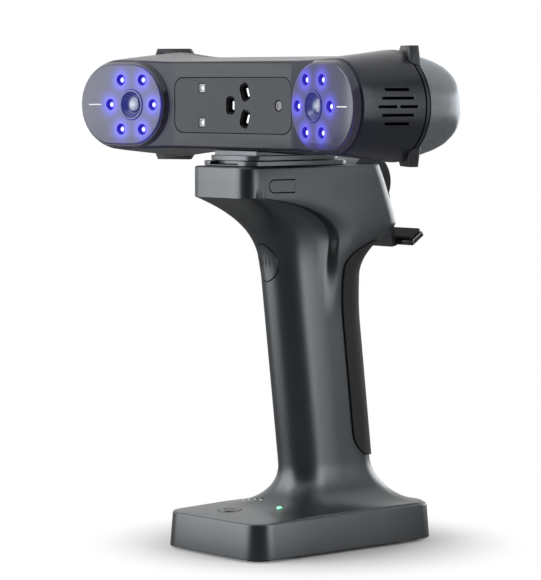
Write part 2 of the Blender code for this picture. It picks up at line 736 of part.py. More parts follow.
def make_front_shell(head):
    rings = [front_ring(0.0, FRONT_EDGE), front_ring(0.0, FRONT_EDGE / 3, FRONT_EDGE / 3),
             front_ring(FRONT_EDGE / (RIM_DEPTH - HEAD_FRONT), 0.0)]
    rings += [front_ring(share, 0.0) for share in FRONT_RING_SHARES]
    rings += [front_ring(share, HEAD_WALL) for share in (1.0, 0.5)]
    rings.append(front_ring(0.0, HEAD_WALL, HEAD_WALL))
    shell = finish("front_shell", skin(rings), "shell", head)
    bosses = bmesh.new()
    for sx in (-1, 1):
        for sz in (-1, 1):
            x, z = sx * BOSS_PLACE[0], sz * BOSS_PLACE[1]
            start = wing_depth(x) + HEAD_WALL / 2
            merge_into(bosses, round_mesh([(start, BOSS_RADIUS), (BENCH_DEPTH - GAP, BOSS_RADIUS)],
                                          "Y", SMALL_ROUND_STEPS, (x, 0.0, z)))
    join(shell, finish("bench_bosses", bosses, None, head))
    cut(shell, vent_cutters(head))
    recess = slab(rounded_rectangle(WINDOW_HALF_WIDTH + GAP, WINDOW_HALF_HEIGHT + GAP, WINDOW_CORNER),
                  HEAD_FRONT - CUT_OVERRUN, HEAD_FRONT + WINDOW_THICK + GAP, "Y")
    cut(shell, finish("window_recess", recess, None, head))
    opening = slab(rounded_rectangle(WINDOW_HALF_WIDTH - WINDOW_LEDGE,
                                     WINDOW_HALF_HEIGHT - WINDOW_LEDGE, WINDOW_CORNER / 2),
                   HEAD_FRONT - CUT_OVERRUN, HEAD_FRONT + HEAD_WALL + CUT_OVERRUN, "Y")
    cut(shell, finish("window_opening", opening, None, head))
    for side in (-1, 1):
        pocket = round_mesh([(-CUT_OVERRUN, POCKET_RADIUS),
                             (WING_SEAT + HEAD_WALL + CUT_OVERRUN, POCKET_RADIUS)], "Y")
        cut(shell, finish("pocket", pocket, None, head, (side * RING_PLACE, 0.0, 0.0),
                          module_turn(side)))
    return shell


def make_rear_shell(head):
    table = list(zip(REAR_DEPTH_SHARES, REAR_RADIUS_SHARES))
    rings = [rear_ring(d, r, 0.0) for d, r in table]
    inner = [rear_ring(1.0, REAR_RADIUS_SHARES[-1], HEAD_WALL / 2, -HEAD_WALL)]
    inner += [rear_ring(d, r, HEAD_WALL) for d, r in reversed(table[:-2:2])]
    shell = finish("rear_shell", skin(rings[::-1] + inner[::-1]), "rear", head)
    posts = bmesh.new()
    bores = bmesh.new()
    back = REAR_DEPTH - HEAD_WALL / 2
    near = BENCH_DEPTH + BENCH_THICK + GAP
    for side in (-1, 1):
        for up in (-1, 1):
            place = (side * SCREW_SIDE, 0.0, up * SCREW_RISE)
            merge_into(posts, round_mesh([(near, SCREW_POST_RADIUS), (back, SCREW_POST_RADIUS)],
                                         "Y", SMALL_ROUND_STEPS, place))
            ledge = near + SCREW_LEDGE
            wide = SCREW_HEAD_RADIUS + GAP
            slim = SCREW_SHANK_RADIUS + GAP
            profile = [(near - CUT_OVERRUN, slim), (ledge, slim), (ledge, wide),
                       (REAR_DEPTH + CUT_OVERRUN, wide)]
            merge_into(bores, round_mesh(profile, "Y", SMALL_ROUND_STEPS, place))
    for x in (-REAR_BOARD_POST, REAR_BOARD_POST):
        merge_into(posts, round_mesh([(REAR_BOARD_DEPTH + BOARD_THICK + GAP, BOSS_RADIUS),
                                      (back, BOSS_RADIUS)], "Y", SMALL_ROUND_STEPS, (x, 0.0, 0.0)))
    for k in (-1, 0, 1):
        merge_into(bores, round_mesh([(back - HEAD_WALL - CUT_OVERRUN, KEY_RADIUS + RUNNING_GAP),
                                      (REAR_DEPTH + CUT_OVERRUN, KEY_RADIUS + RUNNING_GAP)],
                                     "Y", ROUND_STEPS, (k * KEY_PITCH, 0.0, 0.0)))
    width, _, tall = (value / 2 + GAP for value in CHARGE_SOCKET_SIZE)
    merge_into(bores, box_mesh((DATA_SOCKET_PLACE - width, back - HEAD_WALL - CUT_OVERRUN, -tall),
                               (DATA_SOCKET_PLACE + width, REAR_DEPTH + CUT_OVERRUN, tall)))
    join(shell, finish("rear_posts", posts, None, head))
    cut(shell, finish("rear_bores", bores, None, head))
    return shell


def make_camera_module(head, side, word):
    """Bezel, lamp board, lens barrel and lens glass, all square to the toed-in wing."""
    at, turn = (side * RING_PLACE, 0.0, 0.0), module_turn(side)
    base = WING_SEAT - GAP
    rings = [(0.0, 0.0), (base / 6, BEZEL_FLARE / 8), (base, BEZEL_FLARE)]
    bezel = loft([[(x, y, z) for x, z in bezel_outline(grow, side)] for y, grow in rings])
    bezel = finish("camera_bezel_" + word, bezel, "gloss", head, at, turn)
    holes = round_mesh([(-CUT_OVERRUN, LENS_RADIUS + GAP), (WING_SEAT + CUT_OVERRUN, LENS_RADIUS + GAP)],
                       "Y")
    for x, z in ring_places():
        merge_into(holes, round_mesh([(-CUT_OVERRUN, LED_RADIUS + GAP),
                                      (WING_SEAT + CUT_OVERRUN, LED_RADIUS + GAP)],
                                     "Y", SMALL_ROUND_STEPS, (x, 0.0, z)))
    cut(bezel, finish("bezel_holes", holes, None, head, at, turn))
    front, back = WING_SEAT, WING_SEAT + BOARD_THICK
    bore = LENS_RADIUS + GAP
    ring = tube_mesh([(front, bore), (front, LED_BOARD_RADIUS), (back, LED_BOARD_RADIUS), (back, bore)],
                     "Y")
    board = finish("led_ring_" + word, ring, "lamp", head, at, turn)
    domes = bmesh.new()
    for x, z in ring_places():
        profile = [(SEAT, LED_RADIUS / 3), (LED_RADIUS / 5, LED_RADIUS * 2 / 3),
                   (LED_RADIUS / 2, LED_RADIUS), (front + BOARD_THICK / 2, LED_RADIUS)]
        merge_into(domes, round_mesh(profile, "Y", SMALL_ROUND_STEPS, (x, 0.0, z)))
    join(board, finish("led_domes", domes, None, head, at, turn))
    deep = (BENCH_DEPTH - GAP - LENS_RADIUS * math.sin(TOE)) / math.cos(TOE)
    rim = LENS_RADIUS - LENS_WALL
    profile = [(LENS_BORE_DEEP, 0.0), (LENS_BORE_DEEP, rim), (-LENS_PROUD, rim),
               (-LENS_PROUD, LENS_RADIUS), (deep, LENS_RADIUS), (deep, 0.0)]
    finish("lens_barrel_" + word, turned(profile), "black", head, at, turn)
    seat = rim - GAP
    middle = GLASS_SET_BACK
    profile = [(middle - GLASS_DOME, 0.0), (middle - GLASS_DOME * 3 / 4, seat / 2), (middle, seat),
               (middle + GLASS_THICK, seat), (middle + GLASS_THICK, 0.0)]
    finish("lens_glass_" + word, turned(profile), "lens", head, at, turn)


def turned(profile, steps=ROUND_STEPS):
    """Turns a profile that starts and ends on the Y axis."""
    bm = bmesh.new()
    rows = []
    for along, radius in profile:
        if radius == 0.0:
            rows.append([bm.verts.new((0.0, along, 0.0))])
            continue
        rows.append([bm.verts.new((radius * math.sin(math.tau * k / steps), along,
                                   radius * math.cos(math.tau * k / steps)))
                     for k in range(steps)])
    for low, high in zip(rows, rows[1:]):
        for k in range(steps):
            j = (k + 1) % steps
            if len(low) == 1:
                bm.faces.new((low[0], high[j], high[k]))
            elif len(high) == 1:
                bm.faces.new((low[k], low[j], high[0]))
            else:
                bm.faces.new((low[k], low[j], high[j], high[k]))
    return bm


def make_bumpers(head):
    """Four rubber tabs that stand off the seam, turned in plan, trimmed to the shells."""
    for side, word in ((-1, "left"), (1, "right")):
        for up, level in ((-1, "lower"), (1, "upper")):
            rings = []
            for z, spread in ((BUMPER_LOW, BUMPER_SLANT), (BUMPER_TOP, 0.0)):
                ring = rounded_rectangle(BUMPER_HALF_LENGTH + spread, BUMPER_HALF_WIDTH, BUMPER_CORNER, 2)
                rings.append([(x, y, up * z) for x, y in ring])
            tab = finish("bumper_" + level + "_" + word, loft(rings), "rubber", head,
                         (side * BUMPER_PLACE, BUMPER_DEPTH, 0.0),
                         (0.0, 0.0, -side * math.radians(BUMPER_TURN)))
            cut(tab, finish("bumper_seat", head_form(GAP), None, head))


def make_head_inside(head):
    bench = slab(rounded_rectangle(BENCH_HALF_WIDTH, BENCH_HALF_HEIGHT, BOSS_RADIUS),
                 BENCH_DEPTH, BENCH_DEPTH + BENCH_THICK, "Y")
    bench = finish("optical_bench", bench, "metal", head)
    pillars = bmesh.new()
    board_front = BENCH_DEPTH + BENCH_THICK + BOARD_STAND
    for sx in (-1, 1):
        for sz in (-1, 1):
            place = (sx * (MAIN_BOARD_HALF_WIDTH - BOSS_RADIUS), 0.0,
                     sz * (MAIN_BOARD_HALF_HEIGHT - BOSS_RADIUS))
            merge_into(pillars, round_mesh([(BENCH_DEPTH + BENCH_THICK / 2, BOSS_RADIUS * 2 / 3),
                                            (board_front - GAP, BOSS_RADIUS * 2 / 3)],
                                           "Y", SMALL_ROUND_STEPS, place))
    join(bench, finish("board_pillars", pillars, None, head))
    holes = bmesh.new()
    slim = SCREW_SHANK_RADIUS + GAP
    for sx in (-1, 1):
        for sz in (-1, 1):
            place = (sx * SCREW_SIDE, 0.0, sz * SCREW_RISE)
            merge_into(holes, round_mesh([(BENCH_DEPTH - CUT_OVERRUN, slim),
                                          (BENCH_DEPTH + BENCH_THICK + CUT_OVERRUN, slim)],
                                         "Y", SMALL_ROUND_STEPS, place))
    cut(bench, finish("bench_holes", holes, None, head))
    board = slab(rounded_rectangle(MAIN_BOARD_HALF_WIDTH, MAIN_BOARD_HALF_HEIGHT, BOSS_RADIUS / 2),
                 board_front, board_front + BOARD_THICK, "Y")
    finish("main_board", board, "board", head)
    make_heat_sink(head, board_front + BOARD_THICK + SEAT)
    make_projector(head)
    slim_board = slab(rounded_rectangle(REAR_BOARD_HALF_WIDTH, REAR_BOARD_HALF_HEIGHT, BOSS_RADIUS / 2),
                      REAR_BOARD_DEPTH, REAR_BOARD_DEPTH + BOARD_THICK, "Y")
    finish("rear_board", slim_board, "board", head)
    for sx, word in ((-1, "left"), (1, "right")):
        for sz, level in ((-1, "lower"), (1, "upper")):
            seat = BENCH_DEPTH + BENCH_THICK + GAP + SCREW_LEDGE + SEAT
            profile = [(BENCH_DEPTH, 0.0), (BENCH_DEPTH, SCREW_SHANK_RADIUS),
                       (seat, SCREW_SHANK_RADIUS), (seat, SCREW_HEAD_RADIUS),
                       (seat + SCREW_HEAD, SCREW_HEAD_RADIUS), (seat + SCREW_HEAD, 0.0)]
            finish("case_screw_" + level + "_" + word, turned(profile, SMALL_ROUND_STEPS), "metal",
                   head, (sx * SCREW_SIDE, 0.0, sz * SCREW_RISE))


def make_heat_sink(head, front):
    base = box_mesh((-SINK_HALF_WIDTH, front, -SINK_HALF_HEIGHT),
                    (SINK_HALF_WIDTH, front + SINK_BASE, SINK_HALF_HEIGHT))
    sink = finish("heat_sink", base, "metal", head)
    fins = bmesh.new()
    pitch = 2 * SINK_HALF_WIDTH / SINK_FIN_COUNT
    tip = mix(front + SINK_BASE, REAR_BOARD_DEPTH, SINK_FIN_SHARE)
    high = SINK_HALF_HEIGHT - SEAT
    for k in range(SINK_FIN_COUNT):
        middle = -SINK_HALF_WIDTH + pitch * (k + 1 / 2)
        merge_into(fins, box_mesh((middle - pitch / 5, front + SINK_BASE / 2, -high),
                                  (middle + pitch / 5, tip, high)))
    join(sink, finish("sink_fins", fins, None, head))


def slot_outlines(grow):
    """The three laser slots seen from the front, the upper and lower one turned."""
    outlines = []
    plain = rounded_rectangle(SLOT_HALF_WIDTH + grow, SLOT_HALF_HEIGHT + grow, SLOT_CORNER + grow, 2)
    for (x, z), turn in zip(SLOT_PLACES, SLOT_TURNS):
        across, up = math.cos(math.radians(turn)), math.sin(math.radians(turn))
        turned_points = [(a * across - b * up, a * up + b * across) for a, b in plain]
        outlines.append(shifted(turned_points, x, z))
    return outlines


def make_projector(head):
    """The block behind the window: three hollow laser snouts, two square eyes and a round lamp."""
    front = HEAD_FRONT + HEAD_WALL + RUNNING_GAP
    block = slab(rounded_rectangle(PROJECTOR_HALF_WIDTH, PROJECTOR_HALF_HEIGHT, BOSS_RADIUS),
                 front + HEAD_WALL, BENCH_DEPTH - GAP, "Y")
    block = finish("laser_projector", block, "black", head)
    snouts = bmesh.new()
    for outline in slot_outlines(0.0):
        merge_into(snouts, slab(outline, HEAD_FRONT + WINDOW_THICK / 2, front + 2 * HEAD_WALL, "Y"))
    join(block, finish("laser_snouts", snouts, None, head))
    recesses = bmesh.new()
    for outline in slot_outlines(-SLOT_WALL):
        merge_into(recesses, slab(outline, HEAD_FRONT - CUT_OVERRUN, HEAD_FRONT + SLOT_DEEP, "Y"))
    cut(block, finish("laser_recesses", recesses, None, head))
    window = slab(rounded_rectangle(WINDOW_HALF_WIDTH, WINDOW_HALF_HEIGHT, WINDOW_CORNER),
                  HEAD_FRONT, HEAD_FRONT + WINDOW_THICK, "Y")
    window = finish("centre_window", window, "gloss", head)
    holes = bmesh.new()
    ends = (HEAD_FRONT - CUT_OVERRUN, HEAD_FRONT + WINDOW_THICK + CUT_OVERRUN)
    for outline in slot_outlines(GAP):
        merge_into(holes, slab(outline, *ends, "Y"))
    side = EYE_HALF_SIDE
    square = rounded_rectangle(side + GAP, side + GAP, side / 4, 1)
    for x, z in EYE_PLACES:
        merge_into(holes, slab(shifted(square, x, z), *ends, "Y"))
    merge_into(holes, round_mesh([(along, DOT_RADIUS + GAP) for along in ends], "Y",
                                 SMALL_ROUND_STEPS, (DOT_PLACE[0], 0.0, DOT_PLACE[1])))
    cut(window, finish("window_holes", holes, None, head))
    back = front + HEAD_WALL - GAP
    for (x, z), word in zip(EYE_PLACES, ("upper", "lower")):
        eye = slab(shifted(rounded_rectangle(side, side, side / 4, 1), x, z), HEAD_FRONT + SEAT, back, "Y")
        finish("sensor_eye_" + word, eye, "white_lamp", head)
    dot = round_mesh([(HEAD_FRONT + SEAT, DOT_RADIUS), (back, DOT_RADIUS)], "Y", SMALL_ROUND_STEPS)
    finish("round_sensor", dot, "lens", head, (DOT_PLACE[0], 0.0, DOT_PLACE[1]))


def make_socket(name, parent, at, length):
    """A flat port: an open metal tube with a tongue, its mouth towards +Y."""
    width, _, tall = CHARGE_SOCKET_SIZE
    body = box_mesh((-width / 2, -length, -tall / 2), (width / 2, 0.0, tall / 2))
    socket = finish(name, body, "metal", parent, at)
    hollow = box_mesh((-width / 2 + SOCKET_WALL, -length * 3 / 4, -tall / 2 + SOCKET_WALL),
                      (width / 2 - SOCKET_WALL, CUT_OVERRUN, tall / 2 - SOCKET_WALL))
    cut(socket, finish("socket_mouth", hollow, None, parent, at))
    tongue = box_mesh((-width / 3, -length * 7 / 8, -SOCKET_TONGUE / 2),
                      (width / 3, -length / 8, SOCKET_TONGUE / 2))
    join(socket, finish("socket_tongue", tongue, None, parent, at))


def make_keys(head):
    """Three keys in the rear shell, each on its own axis, with a stem to the rear board."""
    names = ("key_minus", "key_scan", "key_plus")
    inner = REAR_DEPTH - HEAD_WALL / 2 - HEAD_WALL
    for k, name in zip((-1, 0, 1), names):
        reach = REAR_BOARD_DEPTH + BOARD_THICK + KEY_TRAVEL + GAP
        face = REAR_DEPTH + KEY_PROUD
        profile = [(reach, 0.0), (reach, KEY_STEM_RADIUS), (inner, KEY_STEM_RADIUS),
                   (inner, KEY_RADIUS), (face - KEY_PROUD / 3, KEY_RADIUS),
                   (face, KEY_RADIUS - KEY_PROUD / 2), (face, 0.0)]
        profile = [(along - REAR_DEPTH, radius) for along, radius in profile]
        finish(name, turned(profile), "rubber", head, (k * KEY_PITCH, REAR_DEPTH, 0.0))


# Handle pieces.

def make_handle_shell(handle):
    rings = handle_inner_rings() + handle_outer_rings()
    shell = finish("handle_shell", loft(rings), "shell", handle)
    cut_handle_shell(shell, handle)


def handle_form(grow):
    return loft(handle_outer_rings(-grow))


def ellipse(half_width, half_height, steps=ROUND_STEPS):
    return [(half_width * math.cos(math.tau * k / steps), half_height * math.sin(math.tau * k / steps))
            for k in range(steps)]


def trigger_prism(grow, back):
    front = grip_front(TRIGGER_HEIGHT) - TRIGGER_HALF_WIDTH
    outline = shifted(ellipse(TRIGGER_HALF_WIDTH + grow, TRIGGER_HALF_HEIGHT + grow), 0.0, TRIGGER_HEIGHT)
    return slab(outline, front, back, "Y")


def tab_outline(grow):
    """(y, z) points of a release tab, round at its front end."""
    half = TAB_HALF_HEIGHT + grow
    middle = TAB_FRONT + TAB_HALF_HEIGHT
    rear = TAB_REAR + min(grow, TAB_HINGE_GAP)
    points = [(rear, -half), (rear, half)]
    steps = ROUND_STEPS // 2
    for k in range(steps + 1):
        angle = math.pi / 2 + math.pi * k / steps
        points.append((middle + half * math.cos(angle), half * math.sin(angle)))
    return [(y, z + TAB_HEIGHT) for y, z in points]


def tab_prism(grow, low, high):
    return loft([[(x, y, z) for y, z in tab_outline(grow)] for x in (low, high)])


def surface_height(x, y):
    """Height of the base's top, or of the fillet over it, at a place in plan."""
    low, high = FOOT_LOW, FOOT_LOW + FOOT_FILLET_HEIGHT
    for _ in range(SEARCH_STEPS):
        middle = (low + high) / 2
        front, rear, narrow, _, corner, *_ = handle_section(middle)
        across = max(0.0, abs(x) - (narrow - corner))
        along = max(0.0, front + corner - y)
        if math.hypot(across, along) < corner and y < rear:
            low = middle
        else:
            high = middle
    return low


def base_top(y):
    """Height of the base's gently crowned top in front of the grip."""
    rim = BASE_FRONT + BASE_DRAFT + BASE_EDGE
    foot = grip_front(FOOT_LOW) - FOOT_FILLET_FRONT
    return mix(BASE_HEIGHT, FOOT_LOW, (y - rim) / (foot - rim))


def lamp_places():
    first = LAMP_ROW_MIDDLE[0] - LAMP_PITCH * (LAMP_COUNT - 1) / 2
    return [(first + k * LAMP_PITCH, LAMP_ROW_MIDDLE[1]) for k in range(LAMP_COUNT)]


def cut_handle_shell(shell, handle):
    top_hole = slab([(x, y + (PLATE_FRONT + PLATE_REAR) / 2) for x, y in
                     rounded_rectangle(PLATE_HALF_WIDTH - 2 * PLATE_LIP,
                                       (PLATE_REAR - PLATE_FRONT) / 2 - 2 * PLATE_LIP, PLATE_CORNER / 2)],
                    CRADLE_TOP - HANDLE_WALL - CUT_OVERRUN, CRADLE_TOP + CUT_OVERRUN, "Z")
    cut(shell, finish("top_opening", top_hole, None, handle))
    cut(shell, finish("trigger_hole", trigger_prism(GAP + SEAT, grip_front(TRIGGER_HEIGHT) + TRIGGER_DEEP),
                      None, handle))
    tools = bmesh.new()
    for side in (-1, 1):
        outer = side * (CRADLE_HALF_WIDTH + CUT_OVERRUN)
        inner = side * (CRADLE_HALF_WIDTH - HANDLE_WALL - CUT_OVERRUN)
        merge_into(tools, tab_prism(TAB_GROOVE, min(outer, inner), max(outer, inner)))
    low = BASE_HEIGHT - HANDLE_WALL - BASE_EDGE - CUT_OVERRUN
    high = FOOT_LOW + CUT_OVERRUN
    spots = [(x, y, LAMP_RADIUS + GAP) for x, y in lamp_places()]
    spots.append((*CHARGE_LAMP_PLACE, CHARGE_LAMP_RADIUS + GAP))
    spots.append((*POWER_PLACE, POWER_RADIUS + GAP))
    for x, y, radius in spots:
        top = surface_height(x, y) + CUT_OVERRUN
        merge_into(tools, round_mesh([(low, radius), (max(high, top), radius)], "Z",
                                     SMALL_ROUND_STEPS, (x, y, 0.0)))
    width, _, tall = CHARGE_SOCKET_SIZE
    merge_into(tools, box_mesh((-width / 2 - GAP, BASE_REAR - HANDLE_WALL - CUT_OVERRUN,
                                CHARGE_SOCKET_HEIGHT - tall / 2 - GAP),
                               (width / 2 + GAP, BASE_REAR + CUT_OVERRUN,
                                CHARGE_SOCKET_HEIGHT + tall / 2 + GAP)))
    cut(shell, finish("shell_cutters", tools, None, handle))
    slot = box_mesh((-YOKE_HALF_WIDTH - GAP, yoke_front() - GAP, YOKE_LOW - GAP),
                    (YOKE_HALF_WIDTH + GAP, BASE_REAR, CRADLE_TOP + CUT_OVERRUN))
    cut(shell, finish("yoke_slot", slot, None, handle))


def yoke_front():
    return DRUM_DEPTH - DRUM_RADIUS - HANDLE_WALL - GAP


def make_trigger(handle):
    front = grip_front(TRIGGER_HEIGHT)
    back = front + TRIGGER_DEEP
    trigger = finish("trigger_button", trigger_prism(0.0, back + TRIGGER_FLANGE / 2), "black", handle)
    combine(trigger, finish("trigger_face", handle_form(TRIGGER_PROUD), None, handle), "INTERSECT")
    wide = TRIGGER_FLANGE + GAP
    outline = shifted(ellipse(TRIGGER_HALF_WIDTH + wide, TRIGGER_HALF_HEIGHT + wide), 0.0, TRIGGER_HEIGHT)
    flange = slab(outline, back, back + TRIGGER_FLANGE, "Y")
    join(trigger, finish("trigger_flange", flange, None, handle))


def switch_front():
    return grip_front(TRIGGER_HEIGHT) + TRIGGER_DEEP + TRIGGER_FLANGE + TRIGGER_TRAVEL + GAP


def make_cells(handle):
    """Two cells in the grip between two shelves, all square to the grip's lean."""
    lean = math.atan(GRIP_LEAN_SHARE)
    middle = grip_front(CELL_LOW) + GRIP_DEPTH / 2
    cells = make_empty("cell_frame", handle, (0.0, middle, CELL_LOW), (lean, 0.0, 0.0))
    reach = GRIP_DEPTH / 2 * math.cos(lean) - HANDLE_WALL - GAP
    outline = rounded_rectangle(GRIP_HALF_WIDTH - HANDLE_WALL - GAP, reach,
                                GRIP_FRONT_CORNER - HANDLE_WALL - GAP, 5)
    outline = crowned(outline, -reach, reach, GRIP_HALF_WIDTH - HANDLE_WALL, GRIP_CROWN)
    finish("cell_shelf_lower", slab(outline, -CELL_SHELF, 0.0, "Z"), "black", cells)
    top = CELL_LENGTH + CELL_TIP + 2 * SEAT
    shelf = finish("cell_shelf_upper", slab(outline, top, top + CELL_SHELF, "Z"), "black", cells)
    width, depth, tall = SWITCH_SIZE
    near = switch_front()
    low = TRIGGER_HEIGHT - tall / 2
    foot = CELL_LOW + top + CELL_SHELF / 2 - middle * GRIP_LEAN_SHARE + near * GRIP_LEAN_SHARE
    post = box_mesh((-width / 2, near, foot), (width / 2, near + depth, low - SEAT))
    join(shelf, finish("switch_post", post, None, handle))
    switch = box_mesh((-width / 2, near, low), (width / 2, near + depth, low + tall))
    finish("trigger_switch", switch, "black", handle)
    for k, name in ((-1, "battery_cell_front"), (1, "battery_cell_rear")):
        place = (0.0, k * CELL_PITCH / 2, 0.0)
        profile = [(SEAT, CELL_RADIUS - CELL_TIP / 2), (SEAT + CELL_TIP / 2, CELL_RADIUS),
                   (SEAT + CELL_LENGTH - CELL_TIP / 2, CELL_RADIUS),
                   (SEAT + CELL_LENGTH, CELL_RADIUS - CELL_TIP / 2),
                   (SEAT + CELL_LENGTH, CELL_TIP_RADIUS),
                   (SEAT + CELL_LENGTH + CELL_TIP, CELL_TIP_RADIUS)]
        finish(name, round_mesh(profile, "Z"), "cell", cells, place)


def make_base(handle):
    """The cover with its pillars and socket stand, the board, the lamps and the power key."""
    inset = HANDLE_WALL + BASE_DRAFT / 3 + GAP
    rings = [section_ring(base_section(inset), z) for z in (GAP, GAP + COVER_THICK)]
    cover = finish("base_cover", loft(rings), "black", handle)
    under = BASE_BOARD_HEIGHT
    inner = GAP + COVER_THICK / 2
    raised = bmesh.new()
    for sx in (-1, 1):
        for y in (BASE_BOARD_FRONT + COVER_PILLAR_RADIUS, BASE_BOARD_REAR - COVER_PILLAR_RADIUS):
            x = sx * (BASE_BOARD_HALF_WIDTH - COVER_PILLAR_RADIUS)
            merge_into(raised, round_mesh([(inner, COVER_PILLAR_RADIUS), (under - SEAT, COVER_PILLAR_RADIUS)],
                                          "Z", SMALL_ROUND_STEPS, (x, y, 0.0)))
    width, length, tall = CHARGE_SOCKET_SIZE
    mouth = BASE_REAR - BASE_DRAFT
    rest = CHARGE_SOCKET_HEIGHT - tall / 2 - SEAT
    merge_into(raised, box_mesh((-width / 2, mouth - length, inner),
                                (width / 2, mouth - HANDLE_WALL - BASE_DRAFT - GAP, rest)))
    join(cover, finish("cover_pillars", raised, None, handle))
    make_socket("charge_socket", handle, (0.0, mouth, CHARGE_SOCKET_HEIGHT), length)
    board = box_mesh((-BASE_BOARD_HALF_WIDTH, BASE_BOARD_FRONT, under),
                     (BASE_BOARD_HALF_WIDTH, BASE_BOARD_REAR, under + BOARD_THICK))
    finish("base_board", board, "board", handle)
    make_lamps(handle, under + BOARD_THICK + SEAT)
    make_power_key(handle, under + BOARD_THICK)
    number = 0
    for y in (BASE_FRONT + FOOT_INSET, BASE_REAR - FOOT_INSET):
        for x in (FOOT_INSET - BASE_HALF_WIDTH, BASE_HALF_WIDTH - FOOT_INSET):
            number += 1
            profile = [(-FOOT_PROUD, FOOT_RADIUS - FOOT_THICK / 4), (-FOOT_PROUD * 2 / 3, FOOT_RADIUS),
                       (GAP - SEAT, FOOT_RADIUS)]
            finish("foot_" + str(number), round_mesh(profile, "Z"), "rubber", handle, (x, y, 0.0))


def make_lamps(handle, low):
    """A bar with four light pins and one wider pin, their ends trimmed to the base's form."""
    places = lamp_places()
    first, last = places[0], places[-1]
    bar = box_mesh((first[0] - 2 * LAMP_RADIUS, first[1] - 2 * LAMP_RADIUS, low),
                   (last[0] + 2 * LAMP_RADIUS, last[1] + 2 * LAMP_RADIUS, low + 2 * LAMP_RADIUS))
    lamps = finish("battery_lamps", bar, "white_lamp", handle)
    pins = bmesh.new()
    for x, y in places:
        top = surface_height(x, y) + CUT_OVERRUN
        merge_into(pins, round_mesh([(low + LAMP_RADIUS, LAMP_RADIUS), (top, LAMP_RADIUS)], "Z",
                                    SMALL_ROUND_STEPS, (x, y, 0.0)))
    join(lamps, finish("lamp_pins", pins, None, handle))
    combine(lamps, finish("lamp_ends", handle_form(SEAT), None, handle), "INTERSECT")
    x, y = CHARGE_LAMP_PLACE
    top = surface_height(x, y) + CUT_OVERRUN
    lamp = round_mesh([(low, CHARGE_LAMP_RADIUS), (top, CHARGE_LAMP_RADIUS)], "Z", ROUND_STEPS,
                      (x, y, 0.0))
    lamp = finish("charge_lamp", lamp, "green_lamp", handle)
    combine(lamp, finish("charge_lamp_end", handle_form(SEAT), None, handle), "INTERSECT")


def make_power_key(handle, board_top):
    foot = board_top + POWER_TRAVEL + GAP
    ceiling = BASE_HEIGHT - HANDLE_WALL - BASE_EDGE - GAP
    place = base_top(POWER_PLACE[1])
    top = place + POWER_PROUD
    profile = [(foot, KEY_STEM_RADIUS), (ceiling - POWER_FLANGE, KEY_STEM_RADIUS),
               (ceiling - POWER_FLANGE, POWER_RADIUS + POWER_FLANGE),
               (ceiling, POWER_RADIUS + POWER_FLANGE), (ceiling, POWER_RADIUS),
               (top - POWER_PROUD, POWER_RADIUS), (top, POWER_RADIUS - POWER_PROUD)]
    profile = [(along - place, radius) for along, radius in profile]
    finish("power_button", round_mesh(profile, "Z"), "rear", handle, (*POWER_PLACE, place))


def make_tabs(handle):
    for side, word in ((-1, "left"), (1, "right")):
        outer = side * CRADLE_HALF_WIDTH
        inner = side * (CRADLE_HALF_WIDTH - TAB_THICK)
        prism = tab_prism(0.0, min(outer, inner), max(outer, inner))
        finish("release_tab_" + word, prism, "shell", handle)


def pad_curve(section, height, push):
    """Points round the grip's back, from the -X end to the +X end of the pad's wrap."""
    _, rear, _, wide, _, corner, *_ = section
    flat = wide - corner
    half = [(0.0, rear + push), (flat / 2, rear + push)]
    for k in range(PAD_POINTS + 1):
        angle = math.pi / 2 * k / PAD_POINTS
        half.append((flat + (corner + push) * math.sin(angle),
                     rear - corner + (corner + push) * math.cos(angle)))
    half.append((wide + push, rear - PAD_DEPTH - CUT_OVERRUN))
    both = [(-x, y) for x, y in half[:0:-1]] + half
    return [(x, y, height) for x, y in both]


def pad_outline():
    """(y, z) points of the pad seen from the side: it follows the back, and its ends are round."""
    points = []
    heights = [PAD_LOW + PAD_END * (1.0 - math.cos(math.pi / 2 * k / FILLET_STEPS))
               for k in range(FILLET_STEPS + 1)]
    heights += shares(PAD_LOW + PAD_END, PAD_HIGH - PAD_END, GRIP_STEPS)[1:-1]
    heights += [PAD_HIGH - PAD_END * (1.0 - math.sin(math.pi / 2 * k / FILLET_STEPS))
                for k in range(FILLET_STEPS + 1)]
    for height in heights:
        into_end = max(0.0, PAD_LOW + PAD_END - height, height - PAD_HIGH + PAD_END) / PAD_END
        share = mix(PAD_END_SHARE, 1.0, math.sqrt(max(0.0, 1.0 - into_end * into_end)))
        points.append((handle_section(height)[1] - PAD_DEPTH * share, height))
    behind = handle_section(REAR_BULGE)[1] + PAD_DEPTH
    return points + [(behind, PAD_HIGH), (behind, PAD_LOW)]


def make_grip_pad(handle):
    rings = []
    ends = (PAD_LOW - CUT_OVERRUN, PAD_HIGH + CUT_OVERRUN)
    between = [height for height in handle_heights() if ends[0] + GAP < height < ends[1] - GAP]
    for height in (ends[0], *between, ends[1]):
        section = handle_section(height)
        outer = pad_curve(section, height, GAP + PAD_THICK)
        rings.append(outer + pad_curve(section, height, GAP)[::-1])
    pad = finish("grip_pad", loft(rings), "rubber", handle)
    reach = CRADLE_HALF_WIDTH + PAD_THICK + CUT_OVERRUN
    side_view = loft([[(x, y, z) for y, z in pad_outline()] for x in (-reach, reach)])
    combine(pad, finish("pad_outline", side_view, None, handle), "INTERSECT")


def make_plate(handle):
    low = CRADLE_TOP + GAP
    outline = rounded_rectangle(PLATE_HALF_WIDTH, (PLATE_REAR - PLATE_FRONT) / 2, PLATE_CORNER)
    outline = shifted(outline, 0.0, (PLATE_REAR + PLATE_FRONT) / 2)
    plate = finish("cradle_plate", slab(outline, low, low + PLATE_THICK, "Z"), "metal", handle)
    groove = rail_mesh(RUNNING_GAP / 2, PLATE_FRONT - CUT_OVERRUN, RAIL_REAR + RUNNING_GAP)
    cut(plate, finish("plate_groove", groove, None, handle))


